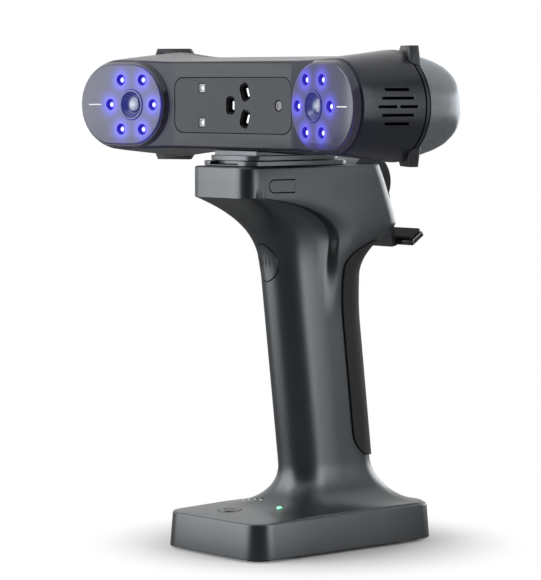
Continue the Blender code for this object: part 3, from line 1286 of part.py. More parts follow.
def rail_mesh(grow, front, rear):
    """The dovetail under the head's shoe, or its groove when grown."""
    low = SHOE_LOW - RAIL_HEIGHT
    high = SHOE_LOW + SHOE_THICK / 2
    slope = RAIL_UNDERCUT / RAIL_HEIGHT
    wide = RAIL_HALF_WIDTH + grow
    narrow = wide - slope * (high - low)
    outline = [(-wide, low - grow), (wide, low - grow), (narrow, high), (-narrow, high)]
    return slab(outline, front, rear, "Y")


def make_shoe(frame):
    """The plate under the head with its rail and a neck up to the shells."""
    low = SHOE_LOW
    outline = rounded_rectangle(SHOE_HALF_WIDTH, (SHOE_REAR - SHOE_FRONT) / 2, PLATE_CORNER)
    outline = shifted(outline, 0.0, (SHOE_REAR + SHOE_FRONT) / 2)
    shoe = finish("head_shoe", slab(outline, low, low + SHOE_THICK, "Z"), "metal", frame)
    rail = rail_mesh(0.0, RAIL_FRONT, RAIL_REAR)
    join(shoe, finish("shoe_rail", rail, None, frame))
    neck = box_mesh((-NECK_HALF_WIDTH, NECK_FRONT, low + SHOE_THICK / 2),
                    (NECK_HALF_WIDTH, NECK_REAR, HEAD_HEIGHT - WAIST_FRONT))
    join(shoe, finish("shoe_neck", neck, None, frame))
    cut(shoe, finish("shoe_seat", head_form(GAP), None, frame, (0.0, 0.0, HEAD_HEIGHT)))


# Phone holder.

def make_yoke(handle):
    low = (-YOKE_HALF_WIDTH, yoke_front(), YOKE_LOW)
    high = (YOKE_HALF_WIDTH, BASE_REAR, CRADLE_TOP + CUT_OVERRUN)
    yoke = finish("hinge_yoke", box_mesh(low, high), "black", handle)
    combine(yoke, finish("yoke_form", handle_form(0.0), None, handle), "INTERSECT")
    reach = DRUM_RADIUS + RUNNING_GAP
    wide = DRUM_HALF_WIDTH + RUNNING_GAP
    at = (0.0, DRUM_DEPTH, DRUM_HEIGHT)
    channel = round_mesh([(-wide, reach), (wide, reach)], "X", 2 * ROUND_STEPS, at)
    cut(yoke, finish("drum_channel", channel, None, handle))
    bore = round_mesh([(-YOKE_HALF_WIDTH - CUT_OVERRUN, PIN_RADIUS + PIN_CLEARANCE),
                       (YOKE_HALF_WIDTH + CUT_OVERRUN, PIN_RADIUS + PIN_CLEARANCE)], "X", ROUND_STEPS, at)
    cut(yoke, finish("pin_bore", bore, None, handle))
    end = YOKE_HALF_WIDTH - SEAT
    finish("hinge_pin", round_mesh([(-end, PIN_RADIUS), (end, PIN_RADIUS)], "X"), "metal", handle, at)


def jaw_point():
    """Where a jaw's gripping face meets the stem's rear face, in the holder's own frame."""
    lean = math.radians(HOLDER_LEAN)
    back, up = JAW_BEHIND, -JAW_BELOW
    return back * math.cos(lean) + up * math.sin(lean), up * math.cos(lean) - back * math.sin(lean)


def jaw_outline(start, thick, up, inner):
    """(y, z) corners of a lip that rises away from the stem: start and thick from its face."""
    rise = math.radians(JAW_RISE)
    along = (math.cos(rise), up * math.sin(rise))
    away = (math.sin(rise), -up * math.cos(rise))
    face, level = jaw_point()
    level = level if up > 0 else level + JAW_GAP
    corners = []
    for reach, deep in ((0.0, start), (JAW_REACH, start), (JAW_REACH, start + thick), (0.0, start + thick)):
        y = face + along[0] * reach + away[0] * deep
        z = level + along[1] * reach + away[1] * deep
        if reach == 0.0:
            z -= (y - face - inner) * along[1] / along[0]
            y = face + inner
        corners.append((y, z))
    return corners


def lip(corners, half_length):
    return loft([[(x, y, z) for y, z in corners] for x in (-half_length, half_length)])


def make_holder(holder):
    face, level = jaw_point()
    arm = round_mesh([(-DRUM_HALF_WIDTH, DRUM_RADIUS - SEAT), (SEAT - DRUM_HALF_WIDTH, DRUM_RADIUS),
                      (DRUM_HALF_WIDTH - SEAT, DRUM_RADIUS), (DRUM_HALF_WIDTH, DRUM_RADIUS - SEAT)],
                     "X", 2 * ROUND_STEPS)
    arm = finish("holder_arm", arm, "black", holder)
    stem = box_mesh((-STEM_HALF_WIDTH, face - STEM_THICK, STEM_LOW), (STEM_HALF_WIDTH, face, STEM_HIGH))
    join(arm, finish("arm_stem", stem, None, holder))
    bore = round_mesh([(-DRUM_HALF_WIDTH - CUT_OVERRUN, PIN_RADIUS + PIN_CLEARANCE),
                       (DRUM_HALF_WIDTH + CUT_OVERRUN, PIN_RADIUS + PIN_CLEARANCE)], "X")
    cut(arm, finish("arm_bore", bore, None, holder))
    middle = face - STEM_THICK / 2
    bottom = level + JAW_GAP - TONGUE_LENGTH
    wide = TONGUE_HALF_WIDTH + GAP
    deep = TONGUE_THICK / 2 + GAP
    slot = box_mesh((-wide, middle - deep, bottom - RUNNING_GAP),
                    (wide, middle + deep, STEM_HIGH + CUT_OVERRUN))
    cut(arm, finish("tongue_slot", slot, None, holder))
    bar = JAW_THICK - JAW_PAD_THICK - SEAT
    for up, word in ((1, "lower"), (-1, "upper")):
        corners = jaw_outline(JAW_PAD_THICK + SEAT, bar, up, GAP)
        jaw = finish(word + "_jaw", lip(corners, JAW_HALF_LENGTH), "black", holder)
        pad = jaw_outline(0.0, JAW_PAD_THICK, up, GAP)
        finish(word + "_jaw_pad", lip(pad, JAW_HALF_LENGTH - JAW_PAD_THICK), "rubber", holder)
    top = max(z for _, z in corners)
    low_edge = min(z for _, z in corners[:1])
    tongue = box_mesh((-TONGUE_HALF_WIDTH, middle - TONGUE_THICK / 2, bottom),
                      (TONGUE_HALF_WIDTH, middle + TONGUE_THICK / 2, top))
    join(jaw, finish("jaw_tongue", tongue, None, holder))
    bridge = box_mesh((-TONGUE_HALF_WIDTH, middle - TONGUE_THICK / 2, low_edge),
                      (TONGUE_HALF_WIDTH, face + 2 * JAW_PAD_THICK, top))
    join(jaw, finish("jaw_bridge", bridge, None, holder))


clear_scene()
MATERIALS = {name: make_material(name, *look) for name, look in COLOURS.items()}
frame = make_empty("scanner", None, (0.0, -MIDDLE_DEPTH, FOOT_PROUD))
head = make_empty("head", frame, (0.0, 0.0, HEAD_HEIGHT))
make_front_shell(head)
make_rear_shell(head)
make_camera_module(head, -1, "left")
make_camera_module(head, 1, "right")
make_head_inside(head)
make_socket("data_socket", head, (DATA_SOCKET_PLACE, REAR_DEPTH, 0.0),
            REAR_DEPTH - REAR_BOARD_DEPTH - BOARD_THICK - 2 * SEAT)
make_keys(head)
make_bumpers(head)
make_shoe(frame)
make_handle_shell(frame)
make_plate(frame)
make_base(frame)
make_trigger(frame)
make_cells(frame)
make_grip_pad(frame)
make_tabs(frame)
make_yoke(frame)
holder = make_empty("holder", frame, (0.0, DRUM_DEPTH, DRUM_HEIGHT), (math.radians(HOLDER_LEAN), 0.0, 0.0))
make_holder(holder)
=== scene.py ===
"""Finish, light and camera for the hand-held three-d scanner.

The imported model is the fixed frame. Visible shells get finer meshes in the same places, and every
piece gets a procedural finish. Depths count from the plane of the two lamp rings, heights from the
base's lower rim, in metres.
"""

import json
import math

import bmesh
import bpy
from mathutils import Matrix, Vector
from mathutils.bvhtree import BVHTree


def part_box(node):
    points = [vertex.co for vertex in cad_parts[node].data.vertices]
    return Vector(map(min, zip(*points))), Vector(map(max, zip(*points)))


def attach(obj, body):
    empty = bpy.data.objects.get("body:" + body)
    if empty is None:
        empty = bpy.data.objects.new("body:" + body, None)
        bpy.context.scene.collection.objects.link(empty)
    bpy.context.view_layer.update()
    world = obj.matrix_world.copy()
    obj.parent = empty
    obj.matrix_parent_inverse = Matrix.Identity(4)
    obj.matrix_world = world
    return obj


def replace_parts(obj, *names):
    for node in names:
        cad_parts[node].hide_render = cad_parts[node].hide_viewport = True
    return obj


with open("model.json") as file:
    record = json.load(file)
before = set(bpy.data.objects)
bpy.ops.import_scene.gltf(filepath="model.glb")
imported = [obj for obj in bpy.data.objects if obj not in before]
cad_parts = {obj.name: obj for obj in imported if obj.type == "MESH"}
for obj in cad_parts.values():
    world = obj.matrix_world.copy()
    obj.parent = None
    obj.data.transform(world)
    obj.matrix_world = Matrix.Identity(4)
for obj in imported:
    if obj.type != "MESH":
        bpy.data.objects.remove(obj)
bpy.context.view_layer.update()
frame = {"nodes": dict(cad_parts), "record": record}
NODES = frame["nodes"]
BODY_OF = {node: body for body, nodes in frame["record"]["behaviour"]["bodies"].items() for node in nodes}

# Driving sizes of the forms.
GAP = 0.0003
OVERRUN = 0.002
SEAT = 0.0002
BASE_HALF_WIDTH = 0.0385
BASE_FRONT = -0.0083
BASE_REAR = 0.1205
BASE_HEIGHT = 0.0182
BASE_CORNER = 0.013
BASE_DRAFT = 0.0014
BASE_CROWN = 0.0010
BASE_EDGE = 0.0010
BASE_LOW_EDGE = 0.0004
WALL = 0.0024
GRIP_HALF_WIDTH = 0.0152
GRIP_FRONT = 0.0468
GRIP_DEPTH = 0.0544
GRIP_CROWN = 0.0030
GRIP_LEAN_SHARE = 0.120
GRIP_FRONT_CORNER = 0.0148
GRIP_REAR_CORNER = 0.0125
FOOT_FILLET_HEIGHT = 0.0230
FOOT_FILLET_FRONT = 0.0260
FOOT_FILLET_REAR = 0.0164
FOOT_FILLET_SIDE = 0.0203
FRONT_FILLET_POWER = 2.4
SIDE_FILLET_POWER = 2.1
REAR_FILLET_POWER = 1.75
PAD_DEPTH = 0.0175
PAD_LOW = 0.0440
PAD_HIGH = 0.1580
PAD_END = 0.0130
PAD_THICK = 0.0009
PAD_EDGE = 0.0003
PAD_END_SHARE = 0.30
CRADLE_HALF_WIDTH = 0.0228
CRADLE_FRONT = -0.0020
CRADLE_CORNER = 0.0090
CRADLE_TOP = 0.1984
CRADLE_LOW = 0.1826
CRADLE_BACK_DEPTH = 0.0980
CRADLE_SLOPE_SHARE = 0.404
CRADLE_EDGE = 0.0012
FLARE_LOW = 0.1400
REAR_FLARE_LOW = 0.1400
REAR_BULGE = 0.1660
BULGE_SOFT = 0.0030
SIDE_FLARE_LOW = 0.1150
SIDE_FLARE_HIGH = 0.1780
CREASE_LOW = 0.1580
CREASE_DEPTH = 0.0625
CREASE_SOFT = 0.0034
CREASE_FADE = 0.0200
FRONT_FLARE_POWER = 3.4
SIDE_FLARE_POWER = 2.5
CORNER_FLARE_POWER = 3.0
TRIGGER_HEIGHT = 0.1480
TRIGGER_HALF_WIDTH = 0.0072
TRIGGER_HALF_HEIGHT = 0.0096
TRIGGER_DEEP = 0.0075
TRIGGER_PROUD = 0.0003
TRIGGER_EDGE = 0.0004
TAB_FRONT = 0.0145
TAB_REAR = 0.0315
TAB_HEIGHT = 0.1884
TAB_HALF_HEIGHT = 0.0031
TAB_GROOVE = 0.0005
TAB_THICK = 0.0016
TAB_HINGE_GAP = 0.0003
PLATE_HALF_WIDTH = 0.0205
PLATE_MIDDLE = 0.0385
PLATE_HALF_DEPTH = 0.0355
PLATE_CORNER = 0.0080
PLATE_EDGE = 0.00025
POWER_PLACE = (-0.0105, 0.0157)
POWER_RADIUS = 0.0062
POWER_PROUD = 0.0003
LAMP_ROW_MIDDLE = (-0.0164, 0.0365)
LAMP_PITCH = 0.0047
LAMP_COUNT = 4
LAMP_RADIUS = 0.0008
LAMP_TIP = 0.7
CHARGE_LAMP_PLACE = (0.0099, 0.0325)
CHARGE_LAMP_RADIUS = 0.0015
CHARGE_LAMP_DOME = 0.0007
FOOT_PROUD = 0.0015
FOOT_RADIUS = 0.0070
FOOT_INSET = 0.0125
FOOT_EDGE_SHARES = ((1.0, 0.93), (0.93, 0.97), (0.75, 1.0))
HEAD_HEIGHT = 0.2295
HEAD_FRONT = 0.0085
RIM_DEPTH = 0.0415
LOBE_PLACE = 0.0840
LOBE_PLACE_FRONT = 0.0868
LOBE_RADIUS_RIM = 0.0280
LOBE_RADIUS_FRONT = 0.0237
WAIST_RIM = 0.0250
WAIST_FRONT = 0.0227
WAIST_HALF_LENGTH = 0.0460
FRONT_EDGE = 0.0018
SEAM = 0.0004
# The line moulded round the front shell near its rim, as shares of the shell's depth and depths.
RIM_LINE = ((0.925, 0.0), (0.928, 0.0007), (0.948, 0.0007), (0.952, 0.0), (0.990, 0.0), (1.0, 0.0004))
REAR_DEPTH = 0.0760
REAR_DEPTH_SHARES = (0.0, 0.25, 0.45, 0.62, 0.76, 0.86, 0.93, 0.975, 1.0)
REAR_RADIUS_SHARES = (1.0, 0.935, 0.880, 0.830, 0.770, 0.700, 0.625, 0.545, 0.440)
TOE = math.radians(9.77)
RING_PLACE = 0.0720
RING_RADIUS = 0.0150
BEZEL_RADIUS = 0.0213
BEZEL_FLARE = 0.0016
BEZEL_STRAIGHT = 0.0150
BEZEL_EDGE = 0.0012
FACE_ON = 0.35
MARK_SPAN = (0.0215, 0.0305)
MARK_WIDTH = 0.0006
LENS_RADIUS = 0.0080
LENS_WALL = 0.0012
LENS_PROUD = 0.0006
LENS_EDGE = 0.0003
LENS_DEEP = 0.0022
BARREL_LENGTH = 0.0320
CONE_RADIUS = 0.0046
CONE_LIP = 0.00012
GLASS_DOME = 0.0011
GLASS_SHARE = 0.96
LED_RADIUS = 0.0022
LED_COUNT = 6
LED_SINK = 0.0005
LED_DOME = 0.0012
LED_DEEP = 0.0009
LED_SHARE = 0.82
LED_CORE_SHARES = (0.80, 0.30)
LED_BOARD_RADIUS = 0.0180
POCKET_RADIUS = 0.0188
WINDOW_HALF_WIDTH = 0.0461
WINDOW_HALF_HEIGHT = 0.0142
WINDOW_CORNER = 0.0062
WINDOW_THICK = 0.0012
WINDOW_LEDGE = 0.0022
WINDOW_EDGE = 0.00025
SLOT_PLACES = ((-0.0010, 0.0), (0.0104, 0.0068), (0.0104, -0.0069))
SLOT_TURNS = (0.0, 20.0, -20.0)
SLOT_HALF_WIDTH = 0.0030
SLOT_HALF_HEIGHT = 0.0042
SLOT_CORNER = 0.0016
SLOT_DEEP = 0.0034
BAR_HALF_WIDTH = 0.0008
BAR_HALF_HEIGHT = 0.0022
BAR_PROUD = 0.0014
BAR_SHIFT = 0.0002
BAR_EDGE = 0.0003
EYE_PLACES = ((-0.0239, 0.0088), (-0.0239, -0.0090))
EYE_HALF_SIDE = 0.0021
EYE_WELL = 0.72
DOT_PLACE = (0.0363, 0.0)
DOT_RADIUS = 0.0025
DOT_GROOVE_SHARES = (0.45, 0.55, 0.62)
VENT_HALF_HEIGHT = 0.00075
VENT_PITCH = 0.00415
VENT_SPANS = (((0.0075, 0.0195), (0.0215, 0.0330)), ((0.0103, 0.0307),), ((0.0128, 0.0285),))
SCREEN_DEEP = 0.0108
SCREEN_MIDDLE = 0.0225
SCREEN_HALF_LENGTH = 0.0172
SCREEN_HALF_HEIGHT = 0.0135
KEY_PITCH = 0.0130
KEY_RADIUS = 0.0046
KEY_PROUD = 0.0012
KEY_DISH_SHARE = 0.6
RUNNING_GAP = 0.0006
SCREW_SIDE = 0.0600
SCREW_RISE = 0.0060
SCREW_HEAD_RADIUS = 0.0026
SCREW_SHANK_RADIUS = 0.0014
SCREW_POST_RADIUS = 0.0042
SCREW_LEDGE = 0.0030
BENCH_REAR = 0.0370
DATA_SOCKET_PLACE = -0.0275
SOCKET_HALF_WIDTH = 0.0045
SOCKET_HALF_HEIGHT = 0.0017
CHARGE_SOCKET_HEIGHT = 0.0085
JAW_EDGE = 0.0008
BUMPER_EDGE = 0.0006
BUMPER_TAPER = 0.84

# Fineness of the meshes.
ARC_STEPS = 24
FRONT_STEPS = 5
CORNER_STEPS = 12
CREASE_STEPS = 9
ROUND_STEPS = 64
SMALL_ROUND_STEPS = 32
GRIP_STEPS = 10
FLARE_STEPS = 48
FILLET_STEPS = 16
PAD_POINTS = 16
SEARCH_STEPS = 30
EDGE_STEPS = 6
CONE_STEPS = 7
SHARP_ANGLE = 35.0
PAD_SHARP_ANGLE = 60.0
FLAT_ANGLE = 1.0
WELD = 1e-6

# Signs.
INK_LIFT = 0.00006
INK_SINK = 0.0002
SIGN_WIDTH = 0.0006
SIGN_SHARE = 0.45
SIGN_TALL = 0.0042
SIGN_WIDE = 0.00672
POWER_SIGN_SHARE = 0.42
POWER_SIGN_SPAN = (125.0, 415.0)
POWER_SIGN_BAR = (0.25, 1.2)
DRAPE_REACH = 1.0

# Lamps' spill, the surfaces' grain, and the tint of their reflections.
GLOW_NEAR = 0.0048
GLOW_WIDE = 0.0240
GLOW_WIDE_SHARE = 0.11
GLOW_STRENGTH = 1.15
SPILL_REACH = 0.024
SPILL_DEPTH_SHARE = 1.8
PAD_DOTS = 830.0
CLOUD_SCALE = 38.0
CLOUD_WEAR = 0.03
GRIT_SCALE = 2600.0
GRIT_WEAR = 0.04
FINE_GRAIN = 0.000003
GLASS_RINGS = 7
GLASS_RING_SHARE = 0.06
COOL = (0.88, 0.945, 1.0)

# Camera and studio, in metres, degrees and millimetres of lens.
CAMERA_AZIMUTH = 48.983
CAMERA_ELEVATION = 4.123
CAMERA_DISTANCE = 1.48086
CAMERA_TARGET = (0.01725, 0.01984, 0.1352)
FOCAL_LENGTH = 179.46
SENSOR = 36.0
PANEL_DISTANCE = 0.95
PANEL_HEIGHT = 1.5
PANEL_MIDDLE = 0.25
FRONT_SPAN = (-55.0, 1.0)
FRONT_RADIANCE = 3.3
SIDE_SPAN = (93.0, 125.0)
SIDE_RADIANCE = 3.4
RIM_SPAN = (158.0, 206.0)
RIM_RADIANCE = 3.0
RIM_HEIGHT = 0.40
RIM_MIDDLE = 0.24
WORLD_FILL = 0.20
FLAG_TONE = 0.02
LOW_CARD_TONE = 0.18
LOW_CARD_DEEP = 0.13
LOW_CARD_RADIUS = 5.0
FLOOR_RADIUS = 6.0
FLOOR_TONE = 0.86
FLOOR_FADE = (0.045, 0.12)

FOOT_LOW = BASE_HEIGHT + BASE_CROWN
WING_SEAT = (HEAD_FRONT - (RING_PLACE - WAIST_HALF_LENGTH) * math.tan(TOE)) * math.cos(TOE)

ORIGIN = (0.0, 0.0, 0.0)
SIDES = ((-1, "left"), (1, "right"))

# Where the model's own origin lies in the frame.
handle_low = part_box("handle_shell")[0]
AT_BASE = Vector((0.0, handle_low.y - BASE_FRONT, handle_low.z))
AT_HEAD = AT_BASE + Vector((0.0, 0.0, HEAD_HEIGHT))


# Node helpers.

class Nodes:
    """A small wrapper that adds and links the shader nodes of a material or world."""

    def __init__(self, owner):
        self.owner = owner
        self.tree = owner.node_tree
        self.shader = self.tree.nodes.get("Principled BSDF")

    def fill(self, node, inputs):
        """Gives inputs of a node their constants, or links to what they are given."""
        for name, value in inputs.items():
            socket = node.inputs[name]
            if isinstance(value, bpy.types.NodeSocket):
                self.tree.links.new(value, socket)
            elif socket.type == "RGBA":
                socket.default_value = (*value, 1.0)
            else:
                socket.default_value = value

    def add(self, kind, inputs=None, **settings):
        """A new node with its settings and inputs."""
        node = self.tree.nodes.new(kind)
        for key, value in settings.items():
            setattr(node, key, value)
        self.fill(node, inputs or {})
        return node

    def set(self, **values):
        """Fills inputs of the material's shader, with _ for a space in their names."""
        self.fill(self.shader, {key.replace("_", " "): value for key, value in values.items()})

    def math(self, operation, *values):
        return self.add("ShaderNodeMath", dict(enumerate(values)), operation=operation).outputs[0]

    def coordinates(self):
        return self.add("ShaderNodeTexCoord").outputs["Object"]

    def places(self):
        """The object's own x, y and z."""
        return self.add("ShaderNodeSeparateXYZ", {0: self.coordinates()}).outputs

    def length(self, *values):
        """The root of the sum of squares."""
        total, *squares = [self.math("MULTIPLY", value, value) for value in values]
        for square in squares:
            total = self.math("ADD", total, square)
        return self.math("SQRT", total)

    def noise(self, scale, detail=3.0, roughness=0.5, stretch=None):
        place = self.coordinates()
        if stretch:
            place = self.add("ShaderNodeMapping", {"Vector": place, "Scale": stretch}).outputs[0]
        inputs = {"Vector": place, "Scale": scale, "Detail": detail, "Roughness": roughness}
        return self.add("ShaderNodeTexNoise", inputs).outputs[0]

    def cells(self, scale, spread=1.0):
        """Distance from the nearest of many scattered points."""
        inputs = {"Vector": self.coordinates(), "Scale": scale, "Randomness": spread}
        return self.add("ShaderNodeTexVoronoi", inputs).outputs["Distance"]

    def span(self, value, low, high):
        """Maps 0 to 1 onto low to high."""
        return self.add("ShaderNodeMapRange", {"Value": value, "To Min": low, "To Max": high}).outputs[0]

    def window(self, value, start, end):
        """0 below start and 1 above end, smooth between."""
        inputs = {"Value": value, "From Min": start, "From Max": end}
        return self.add("ShaderNodeMapRange", inputs, interpolation_type="SMOOTHSTEP").outputs[0]

    def falloff(self, distance, reach):
        """A bell that is 1 at the source."""
        share = self.math("DIVIDE", distance, reach)
        return self.math("EXPONENT", self.math("MULTIPLY", self.math("MULTIPLY", share, share), -1.0))

    def mix(self, share, first, second):
        return self.add("ShaderNodeMix", {0: share, 6: first, 7: second}, data_type="RGBA").outputs[2]

    def bump(self, height, distance):
        inputs = {"Height": height, "Distance": distance, "Strength": 1.0}
        self.set(Normal=self.add("ShaderNodeBump", inputs).outputs[0])

    def seen(self):
        """1 for the eye, reflections and refractions, 0 for the rays that carry light."""
        path = self.add("ShaderNodeLightPath").outputs
        direct = self.math("MAXIMUM", path["Is Camera Ray"], path["Is Glossy Ray"])
        return self.math("MAXIMUM", direct, path["Is Transmission Ray"])

    def led_distance(self):
        """Distances from the nearest lamp of a ring and from its middle, and the depth behind the face."""
        x, depth, z = self.places()
        radius = self.length(x, z)
        sector = math.tau / LED_COUNT
        turn = self.math("ADD", self.math("ARCTAN2", z, x), sector / 2)
        folded = self.math("SUBTRACT", self.math("FLOORED_MODULO", turn, sector), sector / 2)
        along = self.math("SUBTRACT", self.math("MULTIPLY", radius, self.math("COSINE", folded)), RING_RADIUS)
        across = self.math("MULTIPLY", radius, self.math("SINE", folded))
        return self.length(along, across), radius, depth


def new_nodes(name):
    """The nodes of a new material."""
    material = bpy.data.materials.new(name)
    material.use_nodes = True
    return Nodes(material)


# Forms.

def smooth_share(value):
    value = min(1.0, max(0.0, value))
    return value * value * (3.0 - 2.0 * value)


def mix(first, second, share):
    return first + (second - first) * share


def loft(rings, capped=True):
    """Skins rings of equal length, in order."""
    bm = bmesh.new()
    rows = [[bm.verts.new(point) for point in ring] for ring in rings]
    for low, high in zip(rows, rows[1:]):
        for i in range(len(low)):
            j = (i + 1) % len(low)
            bm.faces.new((low[i], low[j], high[j], high[i]))
    if capped:
        bm.faces.new(rows[0][::-1])
        bm.faces.new(rows[-1])
    return bm


def joined(*parts):
    """One bmesh that holds the faces of several, which are freed."""
    bm = bmesh.new()
    for part in parts:
        mesh = bpy.data.meshes.new("scratch")
        part.to_mesh(mesh)
        part.free()
        bm.from_mesh(mesh)
        bpy.data.meshes.remove(mesh)
    return bm


def box_mesh(low, high):
    """A box between two corners."""
    bm = bmesh.new()
    bmesh.ops.create_cube(bm, size=1.0)
    bmesh.ops.scale(bm, vec=[b - a for a, b in zip(low, high)], verts=bm.verts)
    bmesh.ops.translate(bm, vec=[(a + b) / 2 for a, b in zip(low, high)], verts=bm.verts)
    return bm


def disc(along, radius, axis, steps=ROUND_STEPS, at=ORIGIN):
    """A ring of points round a Y or Z axis through a place."""
    flat = ellipse(radius, radius, steps)
    ring = [(b, along, a) if axis == "Y" else (a, b, along) for a, b in flat]
    return [[p + q for p, q in zip(point, at)] for point in ring]


def round_mesh(profile, axis, steps=ROUND_STEPS, at=ORIGIN):
    """A solid turned about an axis from (distance along it, radius) pairs."""
    return loft([disc(along, radius, axis, steps, at) for along, radius in profile])


def studs(places, profile, steps=SMALL_ROUND_STEPS):
    """Equal solids turned about Y axes at (x, z) places."""
    return joined(*(round_mesh(profile, "Y", steps, (x, 0.0, z)) for x, z in places))


def rods(places, ends, radius, steps=SMALL_ROUND_STEPS):
    """Rods along Y between two depths, at (x, z) places."""
    return studs(places, [(end, radius) for end in ends], steps)


def turned(profile):
    """Turns a profile that starts and ends on the Y axis."""
    bm = bmesh.new()
    rings = [disc(along, radius, "Y") if radius else [(0.0, along, 0.0)] for along, radius in profile]
    rows = [[bm.verts.new(point) for point in ring] for ring in rings]
    for low, high in zip(rows, rows[1:]):
        for k in range(ROUND_STEPS):
            j = (k + 1) % ROUND_STEPS
            corners = (low[k % len(low)], low[j % len(low)], high[j % len(high)], high[k % len(high)])
            bm.faces.new(list(dict.fromkeys(corners)))
    return bm


def slab(outline, low, high, axis):
    """Extrudes an outline of (first, second) points along Y or Z."""
    if axis == "Y":
        return loft([[(a, y, b) for a, b in outline] for y in (low, high)])
    return loft([[(a, b, z) for a, b in outline] for z in (low, high)])


def side_prism(outline, *ends):
    """Extrudes a (y, z) outline between two places across the part, lower end first."""
    return loft([[(x, y, z) for y, z in outline] for x in sorted(ends)])


def shifted(outline, across, up):
    return [(a + across, b + up) for a, b in outline]


def ellipse(half_width, half_height, steps=ROUND_STEPS):
    return [(half_width * math.cos(math.tau * k / steps), half_height * math.sin(math.tau * k / steps))
            for k in range(steps)]


def shares(first, last, count):
    return [mix(first, last, k / count) for k in range(count + 1)]


def quarter(steps):
    """Angles from 0 to a right angle."""
    return shares(0.0, math.pi / 2, steps)


def line(first, last, steps=6):
    return list(zip(*(shares(a, b, steps) for a, b in zip(first, last))))


def arc(middle, radius, start, end, steps=28):
    """Points round a middle between two angles in degrees."""
    angles = [math.radians(turn) for turn in shares(start, end, steps)]
    return [(middle[0] + radius * math.cos(t), middle[1] + radius * math.sin(t)) for t in angles]


def edge_steps(size):
    """(inset, push) pairs round a quarter edge, from its face to its side."""
    return [(size * (1.0 - math.sin(t)), size * (1.0 - math.cos(t))) for t in quarter(EDGE_STEPS)]


def rounded_rectangle(half_width, half_height, corner, steps=4):
    """Points of a rounded rectangle round the origin, anticlockwise."""
    across, up = half_width - corner, half_height - corner
    middles = ((across, up), (-across, up), (-across, -up), (across, -up))
    return [point for k, middle in enumerate(middles)
            for point in arc(middle, corner, 90.0 * k, 90.0 * (k + 1), steps)]


def grip_front(height):
    return GRIP_FRONT - GRIP_LEAN_SHARE * (height - BASE_HEIGHT)


def fillet_share(below, power):
    return 1.0 - (1.0 - below ** power) ** (1.0 / power)


def handle_section(height):
    """Front, rear, half-widths before and behind the crease, corners, crease depth and width, crown."""
    front = grip_front(height)
    rear = front + GRIP_DEPTH
    narrow = wide = GRIP_HALF_WIDTH
    crease = CREASE_DEPTH
    front_corner, rear_corner = GRIP_FRONT_CORNER, GRIP_REAR_CORNER
    below = min(1.0, max(0.0, 1.0 - (height - FOOT_LOW) / FOOT_FILLET_HEIGHT))
    front -= FOOT_FILLET_FRONT * fillet_share(below, FRONT_FILLET_POWER)
    rear += FOOT_FILLET_REAR * fillet_share(below, REAR_FILLET_POWER)
    narrow += FOOT_FILLET_SIDE * fillet_share(below, SIDE_FILLET_POWER)
    wide = narrow
    above = smooth_share((CRADLE_LOW - height) / (CRADLE_LOW - FLARE_LOW))
    crown = GRIP_CROWN * smooth_share(1.0 - below) * above
    if height > FLARE_LOW:
        share = min(1.0, (height - FLARE_LOW) / (CRADLE_LOW - FLARE_LOW))
        front = mix(grip_front(height), CRADLE_FRONT, share ** FRONT_FLARE_POWER)
        narrow = mix(GRIP_HALF_WIDTH, CRADLE_HALF_WIDTH, share ** SIDE_FLARE_POWER)
        front_corner = mix(GRIP_FRONT_CORNER, CRADLE_CORNER, share ** CORNER_FLARE_POWER)
    if height > REAR_FLARE_LOW:
        share = (height - REAR_FLARE_LOW) / (REAR_BULGE - REAR_FLARE_LOW)
        furthest = CRADLE_BACK_DEPTH + CRADLE_SLOPE_SHARE * (CRADLE_TOP - REAR_BULGE)
        flared = mix(rear, furthest, share * share)
        sloped = CRADLE_BACK_DEPTH + CRADLE_SLOPE_SHARE * (CRADLE_TOP - height)
        near = max(0.0, 1.0 - abs(flared - sloped) / BULGE_SOFT)
        rear = min(flared, sloped) - near * near * BULGE_SOFT / 4
    if height > SIDE_FLARE_LOW:
        share = (height - SIDE_FLARE_LOW) / (SIDE_FLARE_HIGH - SIDE_FLARE_LOW)
        wide = max(narrow, mix(GRIP_HALF_WIDTH, CRADLE_HALF_WIDTH, smooth_share(share)))
    if height > CREASE_LOW:
        share = min(1.0, (height - CREASE_LOW) / (CRADLE_LOW - CREASE_LOW))
        crease = mix(CRADLE_FRONT, CREASE_DEPTH, math.sqrt(1.0 - share * share))
    soft = mix(CREASE_SOFT, CREASE_FADE, smooth_share((CREASE_LOW - height) / (CREASE_LOW - SIDE_FLARE_LOW)))
    return front, rear, narrow, wide, front_corner, rear_corner, crease, soft, crown


def crowned(points, front, rear, widest, crown):
    """Draws in the front half of an outline of (x, y) points, most at its tip."""
    middle, reach = (front + rear) / 2, (rear - front) / 2
    return [(x * (1.0 - crown / widest * (max(0.0, middle - y) / reach) ** 2), y) for x, y in points]


